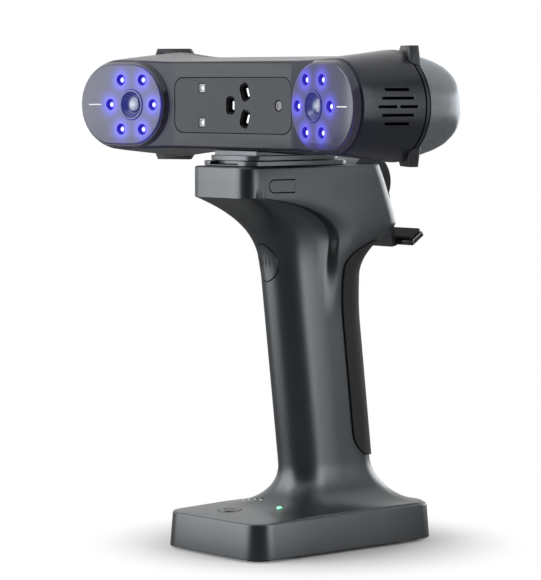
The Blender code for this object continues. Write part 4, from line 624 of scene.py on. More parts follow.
def section_ring(section, height, inset=0.0):
    """One closed ring of (x, y, z) points, front middle first, round by +X."""
    front, rear, narrow, wide, front_corner, rear_corner, crease, soft, crown = section
    front, rear = front + inset, rear - inset
    narrow, wide = narrow - inset, wide - inset
    front_corner = max(min(front_corner - inset, narrow - GAP), GAP)
    rear_corner = max(min(rear_corner - inset, wide - GAP), GAP)
    low, high = front + front_corner, rear - rear_corner
    soft = min(soft, (high - low) / 3)
    step = min(max(crease, low + soft), high - soft)
    half = [(0.0, front), ((narrow - front_corner) / 2, front)]
    half += arc((narrow - front_corner, low), front_corner, -90.0, 0.0, CORNER_STEPS)
    half.append((narrow, (low + step - soft / 2) / 2))
    half += [(mix(narrow, wide, smooth_share(share)), step + soft * (share - 1 / 2))
             for share in shares(0.0, 1.0, CREASE_STEPS)]
    half.append((wide, (high + step + soft / 2) / 2))
    half += arc((wide - rear_corner, high), rear_corner, 0.0, 90.0, CORNER_STEPS)
    half += [((wide - rear_corner) / 2, rear), (0.0, rear)]
    half = crowned(half, front, rear, narrow, crown)
    return [(x, y, height) for x, y in half + [(-x, y) for x, y in half[-2:0:-1]]]


def base_ring(inset, height):
    """A ring round the base, which has the same corners all round."""
    half, corner = BASE_HALF_WIDTH - inset, BASE_CORNER - inset
    middle = (BASE_FRONT + BASE_REAR) / 2
    section = (BASE_FRONT + inset, BASE_REAR - inset, half, half, corner, corner, middle, CREASE_SOFT, 0.0)
    return section_ring(section, height)


def handle_heights():
    fillet = [FOOT_LOW + FOOT_FILLET_HEIGHT * (1.0 - math.cos(t)) for t in quarter(FILLET_STEPS)]
    grip = shares(fillet[-1], SIDE_FLARE_LOW, GRIP_STEPS)[1:]
    return fillet + grip + shares(SIDE_FLARE_LOW, CRADLE_LOW, FLARE_STEPS)[1:]


def surface_height(x, y):
    """Height of the base's top, or of the fillet over it, at a place in plan."""
    low, high = FOOT_LOW, FOOT_LOW + FOOT_FILLET_HEIGHT
    for _ in range(SEARCH_STEPS):
        middle = (low + high) / 2
        front, rear, narrow, _, corner, *_ = handle_section(middle)
        across = max(0.0, abs(x) - (narrow - corner))
        along = max(0.0, front + corner - y)
        if math.hypot(across, along) < corner and y < rear:
            low = middle
        else:
            high = middle
    return low


def base_top(y):
    """Height of the base's gently crowned top in front of the grip."""
    rim = BASE_FRONT + BASE_DRAFT + BASE_EDGE
    foot = grip_front(FOOT_LOW) - FOOT_FILLET_FRONT
    return mix(BASE_HEIGHT, FOOT_LOW, (y - rim) / (foot - rim))


def lamp_places():
    first = LAMP_ROW_MIDDLE[0] - LAMP_PITCH * (LAMP_COUNT - 1) / 2
    return [(first + k * LAMP_PITCH, LAMP_ROW_MIDDLE[1]) for k in range(LAMP_COUNT)]


def tab_outline(grow):
    """(y, z) points of a release tab, round at its front end."""
    half = TAB_HALF_HEIGHT + grow
    rear = TAB_REAR + TAB_HINGE_GAP
    front_end = arc((TAB_FRONT + TAB_HALF_HEIGHT, 0.0), half, 90.0, 270.0, ROUND_STEPS // 2)
    return shifted([(rear, -half), (rear, half), *front_end], 0.0, TAB_HEIGHT)


def pad_curve(section, height, push):
    """Points round the grip's back, from the -X end to the +X end of the pad's wrap."""
    _, rear, _, wide, _, corner, *_ = section
    flat = wide - corner
    half = [(0.0, rear + push), (flat / 2, rear + push)]
    half += arc((flat, rear - corner), corner + push, 90.0, 0.0, PAD_POINTS)
    half.append((wide + push, rear - PAD_DEPTH - OVERRUN))
    return [(x, y, height) for x, y in [(-x, y) for x, y in half[:0:-1]] + half]


def pad_outline():
    """(y, z) points of the pad seen from the side: it follows the back, and its ends are round."""
    low, high = PAD_LOW + PAD_END, PAD_HIGH - PAD_END
    heights = [PAD_LOW + PAD_END * (1.0 - math.cos(t)) for t in quarter(FILLET_STEPS)]
    heights += shares(low, high, GRIP_STEPS)[1:-1]
    heights += [PAD_HIGH - PAD_END * (1.0 - math.sin(t)) for t in quarter(FILLET_STEPS)]
    points = []
    for height in heights:
        into_end = max(0.0, low - height, height - high) / PAD_END
        share = mix(PAD_END_SHARE, 1.0, math.sqrt(max(0.0, 1.0 - into_end * into_end)))
        points.append((handle_section(height)[1] - PAD_DEPTH * share, height))
    behind = handle_section(REAR_BULGE)[1] + PAD_DEPTH
    return points + [(behind, PAD_HIGH), (behind, PAD_LOW)]


def head_outline(radius, waist, lobe):
    """(x, z) points round the head, from the right end anticlockwise."""
    top = arc((lobe, 0.0), radius, 0.0, 90.0, ARC_STEPS)
    top += [(mix(WAIST_HALF_LENGTH, lobe, share), mix(waist, radius, smooth_share(share)))
            for share in shares(1.0, 0.0, ARC_STEPS // 2)[1:]]
    top += [(-x, z) for x, z in reversed(top)]
    return top + [(x, -z) for x, z in reversed(top[1:-1])]


def wing_depth(x):
    return HEAD_FRONT - max(0.0, abs(x) - WAIST_HALF_LENGTH) * math.tan(TOE)


def front_ring(share, inset, push=0.0):
    """A section of the front form: share 0 is its face and 1 is the rim."""
    outline = head_outline(mix(LOBE_RADIUS_FRONT, LOBE_RADIUS_RIM, share) - inset,
                           mix(WAIST_FRONT, WAIST_RIM, share) - inset,
                           mix(LOBE_PLACE_FRONT, LOBE_PLACE, share))
    return [(x, mix(wing_depth(x), RIM_DEPTH, share) + push, z) for x, z in outline]


def rear_ring(depth_share, radius_share, inset, push=0.0):
    radius = LOBE_RADIUS_RIM * radius_share
    waist = WAIST_RIM - (LOBE_RADIUS_RIM - radius)
    depth = mix(RIM_DEPTH + SEAM, REAR_DEPTH, depth_share) + push
    return [(x, depth, z) for x, z in head_outline(radius - inset, waist - inset, LOBE_PLACE)]


def skin(rings):
    """Skins head sections, and closes both ends with strips between their top and bottom points."""
    bm = loft(rings, False)
    count = len(rings[0])
    bm.verts.ensure_lookup_table()
    for start in (0, (len(rings) - 1) * count):
        for i in range(count // 2):
            around = (i, i + 1, count - i - 1, (count - i) % count)
            bm.faces.new(list(dict.fromkeys(bm.verts[start + k] for k in around)))
    return bm


def ring_places():
    return ellipse(RING_RADIUS, RING_RADIUS, LED_COUNT)


def bezel_outline(grow, side):
    """A stadium round the lamp ring that runs on towards the head's end."""
    radius, steps = BEZEL_RADIUS + grow, ROUND_STEPS // 2
    points = arc((0.0, 0.0), radius, 90.0, 270.0, steps)
    points += arc((BEZEL_STRAIGHT, 0.0), radius, -90.0, 90.0, steps)
    return [(side * x, z) for x, z in points]


def rotated(points, degrees):
    across, up = math.cos(math.radians(degrees)), math.sin(math.radians(degrees))
    return [(a * across - b * up, a * up + b * across) for a, b in points]


def slot_outlines(grow):
    """The three laser slots seen from the front, the upper and lower one turned."""
    plain = rounded_rectangle(SLOT_HALF_WIDTH + grow, SLOT_HALF_HEIGHT + grow, SLOT_CORNER + grow, 2)
    return [shifted(rotated(plain, turn), *place) for place, turn in zip(SLOT_PLACES, SLOT_TURNS)]


def window_outline(grow, corner, steps=4):
    return rounded_rectangle(WINDOW_HALF_WIDTH + grow, WINDOW_HALF_HEIGHT + grow, corner, steps)


def socket_outline():
    return rounded_rectangle(SOCKET_HALF_WIDTH + GAP, SOCKET_HALF_HEIGHT + GAP, SOCKET_HALF_HEIGHT)


# Finishes.

def scaled(colour, share):
    return tuple(min(1.0, value * share) for value in colour)


def moulded(name, colour, roughness, specular, grain=0.00002, spread=0.10, metallic=0.0):
    """Moulded plastic or cast metal: fine spark grain, faint cloud in colour and gloss."""
    n = new_nodes(name)
    cloud, grit = n.noise(CLOUD_SCALE), n.noise(GRIT_SCALE, 2.0)
    wear = n.span(grit, roughness - GRIT_WEAR, roughness + GRIT_WEAR)
    n.set(Metallic=metallic, Specular_IOR_Level=specular, Specular_Tint=COOL,
          Base_Color=n.mix(cloud, scaled(colour, 1.0 - spread), scaled(colour, 1.0 + spread)),
          Roughness=n.math("ADD", n.span(cloud, -CLOUD_WEAR, CLOUD_WEAR), wear))
    n.bump(grit, grain)
    return n.owner


def bezel_material(name):
    """Polished smoked face with the blue spill of the lamps and a faint cloud under the gloss."""
    n = Nodes(moulded(name, (0.048, 0.045, 0.066), 0.12, 0.50, FINE_GRAIN, 0.06))
    near, radius, depth = n.led_distance()
    wide = n.math("MULTIPLY", n.falloff(radius, GLOW_WIDE), GLOW_WIDE_SHARE)
    spill = n.math("ADD", n.falloff(near, GLOW_NEAR), wide)
    spill = n.math("MULTIPLY", spill, n.window(depth, BEZEL_EDGE, SEAT))
    n.set(Emission_Color=(0.09, 0.08, 1.0), Emission_Strength=n.math("MULTIPLY", spill, GLOW_STRENGTH))
    return n.owner


def well_material(name, colour, strength, top=0.0, low=0.0, base=(0.010, 0.009, 0.030)):
    """The deep blue wall round a lit lamp; between heights top and low its glow comes up."""
    n = Nodes(moulded(name, base, 0.20, 0.8, FINE_GRAIN))
    cloud, least = n.noise(420.0, 2.0), strength * 0.7
    if low < top:
        cloud, least = n.math("MULTIPLY", cloud, n.window(n.places()[2], top, low)), 0.0
    n.set(Emission_Color=n.mix(cloud, scaled(colour, 0.6), colour),
          Emission_Strength=n.span(cloud, least, strength))
    return n.owner


def lamp_material(name):
    """Lit resin: white-hot in the middle of each dome and deep blue round it."""
    n = new_nodes(name)
    core = n.window(n.led_distance()[0], *(LED_RADIUS * share for share in LED_CORE_SHARES))
    n.set(Base_Color=n.mix(core, (0.03, 0.03, 0.30), (0.4, 0.4, 0.9)), Roughness=0.15,
          Specular_IOR_Level=0.5, Emission_Color=n.mix(core, (0.05, 0.04, 1.0), (0.70, 0.70, 1.0)),
          Emission_Strength=n.span(core, 0.55, 1.25))
    return n.owner


def glass_material(name, inner, outer, radius, specular, coat):
    """Coated lens: a colour that turns from the middle out in faint rings, with a clear coat. On the camera
    lenses the pale middle is a painted highlight.
    """
    n = new_nodes(name)
    x, _, z = n.places()
    away = n.length(x, z)
    wave = n.math("SINE", n.math("MULTIPLY", away, math.tau * GLASS_RINGS / radius))
    share = n.math("ADD", n.window(away, 0.0, radius), n.math("MULTIPLY", wave, GLASS_RING_SHARE))
    n.set(Base_Color=n.mix(share, inner, outer), Roughness=0.06, Specular_IOR_Level=specular,
          Coat_Weight=coat, Coat_Roughness=0.03)
    return n.owner


def rubber_material(name, colour, dots=False):
    """Dull rubber with fine grit, and with a grid of raised dots for the pad."""
    n = new_nodes(name)
    cloud, grit = n.noise(60.0), n.noise(1900.0, 3.0, 0.7)
    n.set(Base_Color=n.mix(cloud, scaled(colour, 0.75), scaled(colour, 1.3)),
          Roughness=n.span(grit, 0.62, 0.86), Specular_IOR_Level=0.35)
    if dots:
        dot = n.window(n.cells(PAD_DOTS, 0.25), 0.5, 0.1)
        n.bump(n.math("ADD", n.math("MULTIPLY", grit, 0.35), dot), 0.00012)
    else:
        n.bump(grit, 0.00003)
    return n.owner


def metal_material(name, colour, roughness, stretch=None):
    """Metal with fine lines, brushed where they are stretched."""
    n = new_nodes(name)
    lines = n.noise(900.0, 2.0, 0.6, stretch)
    n.set(Base_Color=n.mix(lines, scaled(colour, 0.85), scaled(colour, 1.12)), Metallic=1.0,
          Roughness=n.span(lines, roughness - 0.06, roughness + 0.08))
    n.bump(lines, 0.00001)
    return n.owner


def board_material(name):
    """Solder mask with tracks and pads."""
    n = new_nodes(name)
    upright = n.add("ShaderNodeMapping", {"Vector": n.coordinates(), "Rotation": (math.pi / 2, 0.0, 0.0)})
    tracks = n.add("ShaderNodeTexBrick", {
        "Vector": upright.outputs[0], "Scale": 190.0, "Mortar Size": 0.03, "Color1": (0.010, 0.085, 0.035),
        "Color2": (0.014, 0.110, 0.045), "Mortar": (0.045, 0.230, 0.090)}, offset=0.37).outputs
    pads = n.window(n.cells(420.0), 0.22, 0.18)
    n.set(Base_Color=n.mix(pads, tracks["Color"], (0.55, 0.42, 0.18)), Roughness=n.span(pads, 0.45, 0.25))
    n.bump(n.math("ADD", tracks["Fac"], pads), 0.00003)
    return n.owner


def sleeve_material(name):
    """Shrink sleeve on a cell: plain blue with faint wrinkles."""
    n = new_nodes(name)
    wrinkles = n.noise(140.0, 4.0, 0.6, (1.0, 1.0, 0.3))
    n.set(Base_Color=n.mix(wrinkles, (0.03, 0.11, 0.30), (0.06, 0.19, 0.45)),
          Roughness=n.span(wrinkles, 0.25, 0.4))
    n.bump(wrinkles, 0.00008)
    return n.owner


def lit_material(name, colour, strength, dark):
    """A small lit window: its colour and glow vary a little in a fine cloud, darker in places."""
    n = new_nodes(name)
    cloud = n.noise(700.0, 2.0)
    n.set(Base_Color=n.mix(cloud, dark, colour), Roughness=n.span(cloud, 0.25, 0.35),
          Emission_Color=n.mix(cloud, scaled(colour, 0.8), colour),
          Emission_Strength=n.span(cloud, strength * 0.8, strength))
    return n.owner


def face_material(name, colour, roughness, specular, strength):
    """The head's front: satin with the lamps' blue spill near both rings."""
    n = Nodes(moulded(name, colour, roughness, specular, 0.000012))
    x, y, z = n.places()
    reach = n.math("SUBTRACT", n.math("ABSOLUTE", x), RING_PLACE)
    away = n.length(reach, n.math("MULTIPLY", y, SPILL_DEPTH_SHARE), z)
    n.set(Emission_Color=(0.10, 0.09, 0.62),
          Emission_Strength=n.math("MULTIPLY", n.falloff(away, SPILL_REACH), strength))
    return n.owner


SHELL = moulded("gunmetal_satin", (0.0125, 0.0140, 0.0155), 0.35, 1.0)
HEAD_SHELL = face_material("head_satin", (0.016, 0.0175, 0.021), 0.27, 0.27, 0.10)
REAR_SHELL = moulded("pale_satin", (0.130, 0.140, 0.150), 0.27, 0.9, metallic=0.5)
WINDOW = face_material("window_gloss", (0.016, 0.018, 0.020), 0.16, 0.17, 0.11)
BEZEL = bezel_material("bezel_gloss")
LAMPS = lamp_material("ring_lamps")
# The camera lenses' pale blue middle colour is a painted highlight.
LENS = glass_material("lens_coated_painted_highlight", (0.30, 0.40, 0.52), (0.030, 0.040, 0.20), 0.0034, 0.6, 0.6)
DOT = glass_material("dot_coated", (0.05, 0.05, 0.06), (0.12, 0.12, 0.13), 0.0016, 0.4, 0.2)
RUBBER = rubber_material("rubber", (0.014, 0.015, 0.017))
PAD = rubber_material("pad_rubber", (0.010, 0.010, 0.011), True)
BLACK = moulded("black_satin", (0.010, 0.011, 0.013), 0.36, 0.5)
BLACK_GLOSS = moulded("black_gloss", (0.018, 0.018, 0.021), 0.20, 1.0, 0.000004)
LED_WELL = well_material("led_well", (0.05, 0.03, 1.0), 0.55)
BEZEL_SIDE = well_material("bezel_side", (0.03, 0.02, 1.0), 0.45, 0.004, -0.015, (0.062, 0.064, 0.076))
BARREL = well_material("barrel_blue", (0.14, 0.17, 1.0), 0.26)
PLATE = moulded("plate_dark", (0.075, 0.080, 0.088), 0.30, 1.0, metallic=0.3)
METAL = metal_material("satin_metal", (0.56, 0.57, 0.58), 0.32, (1.0, 0.06, 1.0))
DARK_METAL = metal_material("dark_metal", (0.16, 0.165, 0.175), 0.36)
BOARD = board_material("circuit_board")
SLEEVE = sleeve_material("cell_sleeve")
WHITE_LIT = lit_material("white_lit", (0.86, 0.90, 0.90), 0.75, (0.5, 0.52, 0.53))
EYE = lit_material("eye_window", (0.42, 0.44, 0.46), 0.20, (0.22, 0.23, 0.25))
BUMPER = moulded("bumper_black", (0.030, 0.031, 0.034), 0.46, 0.45)
PALE_LIT = lit_material("pale_lit", (0.62, 0.80, 0.68), 0.35, (0.2, 0.26, 0.22))
GREEN_LIT = lit_material("green_lit", (0.28, 0.95, 0.56), 1.3, (0.10, 0.50, 0.25))
INK = moulded("white_ink", (0.80, 0.80, 0.84), 0.5, 0.3, FINE_GRAIN, 0.04)
DARK_INK = moulded("dark_ink", (0.006, 0.006, 0.007), 0.5, 0.3, FINE_GRAIN)
GROOVE = moulded("groove_black", (0.003, 0.003, 0.004), 0.6, 0.1, FINE_GRAIN)


# Pieces: mesh helpers that keep what they make in the scene.

def show(name, data, at=ORIGIN):
    """An object in the scene for a mesh, lamp or camera."""
    obj = bpy.data.objects.new(name, data)
    bpy.context.scene.collection.objects.link(obj)
    obj.location = at
    return obj


def piece(name, bm, material, at=AT_BASE, turn=ORIGIN):
    """Turns a bmesh into a shaded object."""
    bmesh.ops.recalc_face_normals(bm, faces=bm.faces)
    mesh = bpy.data.meshes.new(name)
    bm.to_mesh(mesh)
    bm.free()
    mesh.materials.append(material)
    obj = show(name, mesh, at)
    obj.rotation_euler = turn
    return smooth(obj)


def smooth(obj):
    obj.data.shade_smooth()
    obj.data.set_sharp_from_angle(angle=math.radians(SHARP_ANGLE))
    return obj


def settle(obj):
    """Applies an object's modifiers to its mesh."""
    bpy.context.view_layer.update()
    evaluated = obj.evaluated_get(bpy.context.evaluated_depsgraph_get())
    mesh = bpy.data.meshes.new_from_object(evaluated)
    obj.modifiers.clear()
    spent, obj.data = obj.data, mesh
    bpy.data.meshes.remove(spent)
    return obj


def carve(obj, *tools, operation="DIFFERENCE"):
    """Cuts or trims obj with tool objects for good. A tool's own material stays on its walls."""
    for tool in tools:
        modifier = obj.modifiers.new("carve", "BOOLEAN")
        modifier.operation = operation
        modifier.solver = "EXACT"
        modifier.material_mode = "TRANSFER"
        modifier.object = tool
    settle(obj)
    for tool in tools:
        bpy.data.objects.remove(tool, do_unlink=True)
    return smooth(obj)


def soften(obj, width, segments=2, angle=SHARP_ANGLE):
    """Rounds an object's sharp edges."""
    bevel = obj.modifiers.new("soften", "BEVEL")
    bevel.width = width
    bevel.segments = segments
    bevel.limit_method = "ANGLE"
    bevel.angle_limit = math.radians(angle)
    bevel.harden_normals = True
    return settle(obj)


def put(obj, node):
    """Rides a piece on its node's body."""
    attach(obj, BODY_OF[node])
    return obj


def form(node, bm, material, at=AT_BASE, turn=ORIGIN, cuts=(), operation="DIFFERENCE", edge=0.0, **rounding):
    """A mesh that stands in for its node: carved by the cuts, then with its edges rounded."""
    obj = piece(node + "_form", bm, material, at, turn)
    if cuts:
        carve(obj, *cuts, operation=operation)
    if edge:
        soften(obj, edge, **rounding)
    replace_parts(put(obj, node), node)
    return obj


def dress(node, width, material):
    """A node's own solid with clean faces and rounded edges. A bumper also narrows away from the head."""
    bm = bmesh.new()
    bm.from_mesh(NODES[node].data)
    bmesh.ops.remove_doubles(bm, verts=bm.verts, dist=WELD)
    if node.startswith("bumper"):
        middle = sum((v.co for v in bm.verts), Vector()) / len(bm.verts)
        reach = max(abs(v.co.z - AT_HEAD.z) for v in bm.verts)
        for v in bm.verts:
            if abs(v.co.z - AT_HEAD.z) > reach - WELD:
                v.co.x, v.co.y = (mix(middle[k], v.co[k], BUMPER_TAPER) for k in (0, 1))
    bmesh.ops.dissolve_limit(bm, angle_limit=math.radians(FLAT_ANGLE), verts=bm.verts, edges=bm.edges)
    form(node, bm, material, ORIGIN, edge=width)


def draped(obj, axis):
    """A function that lays a plan point on a piece, in the piece's own frame, lifted off it by push."""
    mesh = obj.data
    tree = BVHTree.FromPolygons([v.co for v in mesh.vertices], [tuple(p.vertices) for p in mesh.polygons])
    way = Vector({"Y": (0.0, 1.0, 0.0), "-Y": (0.0, -1.0, 0.0), "Z": (0.0, 0.0, -1.0)}[axis])

    def surface(a, b, push):
        place = Vector((a, b, 0.0) if axis == "Z" else (a, 0.0, b))
        found, normal, _, _ = tree.ray_cast(place - way * DRAPE_REACH, way)
        return found + normal * push
    return surface


def stroke(points, width):
    """Pairs of edge points along a line of plan points."""
    pairs = []
    for k, (a, b) in enumerate(points):
        first, last = points[max(k - 1, 0)], points[min(k + 1, len(points) - 1)]
        step = Vector(last) - Vector(first)
        across = step.orthogonal().normalized() * width / 2
        pairs.append(((a + across.x, b + across.y), (a - across.x, b - across.y)))
    return pairs


def ink(name, lines, width, surface, material, like):
    """Thin closed strokes along plan lines, laid on the surface of a piece that they share a place with."""
    loops = []
    for points in lines:
        rings = []
        for left, right in stroke(points, width):
            corners = ((left, INK_LIFT), (right, INK_LIFT), (right, -INK_SINK), (left, -INK_SINK))
            rings.append([surface(*place, push) for place, push in corners])
        loops.append(loft(rings))
    return piece(name, joined(*loops), material, like.location, like.rotation_euler)


# Head pieces.

def module(side):
    """Place and turn of a camera module, square to its toed-in wing."""
    return AT_HEAD + Vector((side * RING_PLACE, 0.0, 0.0)), (0.0, 0.0, -side * TOE)


def make_front_shell():
    rings = [front_ring(0.0, inset, push) for inset, push in edge_steps(FRONT_EDGE)]
    rings += [front_ring(share, 0.0) for share in shares(0.0, 1.0, FRONT_STEPS)[1:-1]]
    rings += [front_ring(share, deep) for share, deep in RIM_LINE]
    rings += [front_ring(share, WALL) for share in (1.0, 0.5)]
    rings.append(front_ring(0.0, WALL, WALL))
    vents = []
    for side in (-1, 1):
        near, far = sorted((side * (LOBE_PLACE + LOBE_RADIUS_FRONT - 3 * WALL),
                            side * (LOBE_PLACE + LOBE_RADIUS_RIM + OVERRUN)))
        for row in range(1 - len(VENT_SPANS), len(VENT_SPANS)):
            low, high = (row * VENT_PITCH + half for half in (-VENT_HALF_HEIGHT, VENT_HALF_HEIGHT))
            vents += [box_mesh((near, front, low), (far, rear, high)) for front, rear in VENT_SPANS[abs(row)]]
    recess = slab(window_outline(GAP, WINDOW_CORNER, CORNER_STEPS), HEAD_FRONT - OVERRUN,
                  HEAD_FRONT + WINDOW_THICK + GAP, "Y")
    opening = slab(window_outline(-WINDOW_LEDGE, WINDOW_CORNER / 2), HEAD_FRONT - OVERRUN,
                   HEAD_FRONT + WALL + OVERRUN, "Y")
    tools = [piece("cut", bm, GROOVE, AT_HEAD) for bm in (joined(*vents), recess, opening)]
    for side in (-1, 1):
        pocket = rods([(0.0, 0.0)], (-OVERRUN, WING_SEAT + WALL + OVERRUN), POCKET_RADIUS, ROUND_STEPS)
        tools.append(piece("pocket", pocket, GROOVE, *module(side)))
    form("front_shell", skin(rings), HEAD_SHELL, AT_HEAD, cuts=tools)
    for side, word in SIDES:
        inner = side * (LOBE_PLACE + LOBE_RADIUS_FRONT - SCREEN_DEEP)
        outline = rounded_rectangle(SCREEN_HALF_LENGTH, SCREEN_HALF_HEIGHT, WALL)
        rings = [[(inner + push, y + SCREEN_MIDDLE, z) for y, z in outline] for push in (-GAP, GAP)]
        put(piece("vent_screen_" + word, loft(rings), GROOVE, AT_HEAD), "front_shell")


def make_rear_shell():
    table = list(zip(REAR_DEPTH_SHARES, REAR_RADIUS_SHARES))
    rings = [rear_ring(d, r, 0.0) for d, r in table]
    inner = [rear_ring(1.0, REAR_RADIUS_SHARES[-1], WALL / 2, -WALL)]
    inner += [rear_ring(d, r, WALL) for d, r in reversed(table[:-2:2])]
    screws = [(sx * SCREW_SIDE, sz * SCREW_RISE) for sx in (-1, 1) for sz in (-1, 1)]
    keys = [(k * KEY_PITCH, 0.0) for k in (-1, 0, 1)]
    ends = (REAR_DEPTH - 3 * WALL, REAR_DEPTH + OVERRUN)
    bores = joined(rods(screws, ends, SCREW_HEAD_RADIUS + GAP),
                   rods(keys, ends, KEY_RADIUS + RUNNING_GAP, ROUND_STEPS),
                   slab(shifted(socket_outline(), DATA_SOCKET_PLACE, 0.0), *ends, "Y"))
    form("rear_shell", skin(rings[::-1] + inner[::-1]), REAR_SHELL, AT_HEAD,
         cuts=[piece("bores", bores, GROOVE, AT_HEAD)])
    near = BENCH_REAR + GAP
    posts = rods(screws, (near, REAR_DEPTH - WALL / 2), SCREW_POST_RADIUS)
    shank, head = SCREW_SHANK_RADIUS + GAP, SCREW_HEAD_RADIUS + GAP
    profile = [(near - OVERRUN, shank), (near + SCREW_LEDGE, shank), (near + SCREW_LEDGE, head),
               (REAR_DEPTH, head)]
    posts = piece("screw_posts", posts, BLACK, AT_HEAD)
    put(carve(posts, piece("post_bores", studs(screws, profile), BLACK, AT_HEAD)), "rear_shell")


def make_camera_module(side, word):
    """Bezel, lamp ring, stepped lens barrel and lens glass, square to the toed-in wing."""
    at, turn = module(side)
    base = WING_SEAT - GAP
    rings = [[(x, push, z) for x, z in bezel_outline(-inset, side)] for inset, push in edge_steps(BEZEL_EDGE)]
    flare = ((base / 3, BEZEL_FLARE / 5), (base * 2 / 3, BEZEL_FLARE / 2), (base, BEZEL_FLARE))
    rings += [[(x, y, z) for x, z in bezel_outline(grow, side)] for y, grow in flare]
    wide = LED_RADIUS + GAP
    sunk = [(-OVERRUN, wide + 2 * LED_SINK), (0.0, wide + LED_SINK), (LED_SINK, wide), (base + OVERRUN, wide)]
    lens_hole = rods([(0.0, 0.0)], (-OVERRUN, base + OVERRUN), LENS_RADIUS + GAP, ROUND_STEPS)
    holes = piece("holes", joined(lens_hole, studs(ring_places(), sunk)), LED_WELL, at, turn)
    bezel = form("camera_bezel_" + word, loft(rings), BEZEL, at, turn, cuts=[holes])
    bezel.data.materials.append(BEZEL_SIDE)
    for face in bezel.data.polygons:
        if face.material_index == 0 and face.normal.y > -FACE_ON:
            face.material_index = len(bezel.data.materials) - 1
    mark = line((side * MARK_SPAN[0], 0.0), (side * MARK_SPAN[1], 0.0))
    put(ink("bezel_mark_" + word, [mark], MARK_WIDTH, draped(bezel, "Y"), INK, bezel), "camera_bezel_" + word)
    lamp = [(LED_DEEP + LED_DOME * (1.0 - math.cos(t)), LED_RADIUS * LED_SHARE * math.sin(t) + SEAT / 4)
            for t in quarter(EDGE_STEPS)]
    lamp += [(LED_DEEP + LED_DOME, LED_RADIUS), (WING_SEAT, LED_RADIUS)]
    board = round_mesh([(WING_SEAT, LENS_RADIUS + 2 * GAP), (WING_SEAT, LED_BOARD_RADIUS),
                        (WING_SEAT + 2 * GAP, LED_BOARD_RADIUS)], "Y")
    form("led_ring_" + word, joined(board, studs(ring_places(), lamp)), LAMPS, at, turn)
    rim = LENS_RADIUS - LENS_WALL
    profile = [(LENS_DEEP, 0.0), (LENS_DEEP, CONE_RADIUS)]
    for share in shares(1.0, 0.0, CONE_STEPS):
        reach, radius = mix(LENS_PROUD, LENS_DEEP, share), mix(rim, CONE_RADIUS, share)
        profile += [(reach, radius), (reach - CONE_LIP, radius + CONE_LIP)]
    profile += [(-LENS_PROUD, rim + LENS_EDGE), (-LENS_PROUD, LENS_RADIUS - LENS_EDGE),
                (LENS_EDGE - LENS_PROUD, LENS_RADIUS), (BARREL_LENGTH, LENS_RADIUS), (BARREL_LENGTH, 0.0)]
    form("lens_barrel_" + word, turned(profile), BARREL, at, turn)
    dome = [(LENS_DEEP - GLASS_DOME * math.cos(t), CONE_RADIUS * math.sin(t) * GLASS_SHARE)
            for t in quarter(CONE_STEPS)]
    dome += [(LENS_DEEP + GAP, dome[-1][1]), (LENS_DEEP + GAP, 0.0)]
    form("lens_glass_" + word, turned(dome), LENS, at, turn)


def make_window():
    """The gloss plate with its slots, eyes and round lamp, and a lens bar on each slot's floor."""
    plate = slab(window_outline(0.0, WINDOW_CORNER, CORNER_STEPS), HEAD_FRONT, HEAD_FRONT + WINDOW_THICK, "Y")
    ends = (HEAD_FRONT - OVERRUN, HEAD_FRONT + WINDOW_THICK + OVERRUN)
    side = EYE_HALF_SIDE
    square = rounded_rectangle(side + GAP, side + GAP, side / 4)
    outlines = slot_outlines(GAP) + [shifted(square, *place) for place in EYE_PLACES]
    holes = [slab(outline, *ends, "Y") for outline in outlines]
    holes.append(rods([DOT_PLACE], ends, DOT_RADIUS + GAP, ROUND_STEPS))
    form("centre_window", plate, WINDOW, AT_HEAD, edge=WINDOW_EDGE,
         cuts=[piece("window_holes", joined(*holes), GROOVE, AT_HEAD)])
    floor = HEAD_FRONT + SLOT_DEEP
    bar_outline = rounded_rectangle(BAR_HALF_WIDTH, BAR_HALF_HEIGHT, BAR_HALF_WIDTH / 2)
    for number, ((x, z), turn) in enumerate(zip(SLOT_PLACES, SLOT_TURNS), 1):
        bar = piece("laser_lens_" + str(number), slab(bar_outline, -BAR_PROUD, SEAT, "Y"), WHITE_LIT,
                    AT_HEAD + Vector((x + BAR_SHIFT, floor, z)), (0.0, -math.radians(turn), 0.0))
        put(soften(bar, BAR_EDGE, 3), "laser_projector")
    back = HEAD_FRONT + WALL + RUNNING_GAP + WALL - GAP
    pupil = ((-1, 0.0), (-2 / 3, side / 3), (1, side / 2), (2, side / 2), (2, 0.0))
    for (x, z), word in zip(EYE_PLACES, ("upper", "lower")):
        at = AT_HEAD + Vector((x, 0.0, z))
        eye = slab(rounded_rectangle(side, side, side / 4), HEAD_FRONT + SEAT, back, "Y")
        well = slab(rounded_rectangle(side * EYE_WELL, side * EYE_WELL, side / 4),
                    HEAD_FRONT - OVERRUN, HEAD_FRONT + 3 * GAP, "Y")
        form("sensor_eye_" + word, eye, EYE, at, cuts=[piece("well", well, EYE, at)], edge=GAP / 2)
        lens = turned([(HEAD_FRONT + (2 + gaps) * GAP, radius) for gaps, radius in pupil])
        put(piece("eye_lens_" + word, lens, WHITE_LIT, at), "sensor_eye_" + word)
    front = HEAD_FRONT + SEAT
    inner, middle, outer = (DOT_RADIUS * share for share in DOT_GROOVE_SHARES)
    profile = [(front + GAP / 2, 0.0), (front + GAP, inner), (front + GAP, middle), (front, outer),
               (front, DOT_RADIUS - GAP), (front + GAP, DOT_RADIUS), (back, DOT_RADIUS), (back, 0.0)]
    form("round_sensor", turned(profile), DOT, AT_HEAD + Vector((DOT_PLACE[0], 0.0, DOT_PLACE[1])))


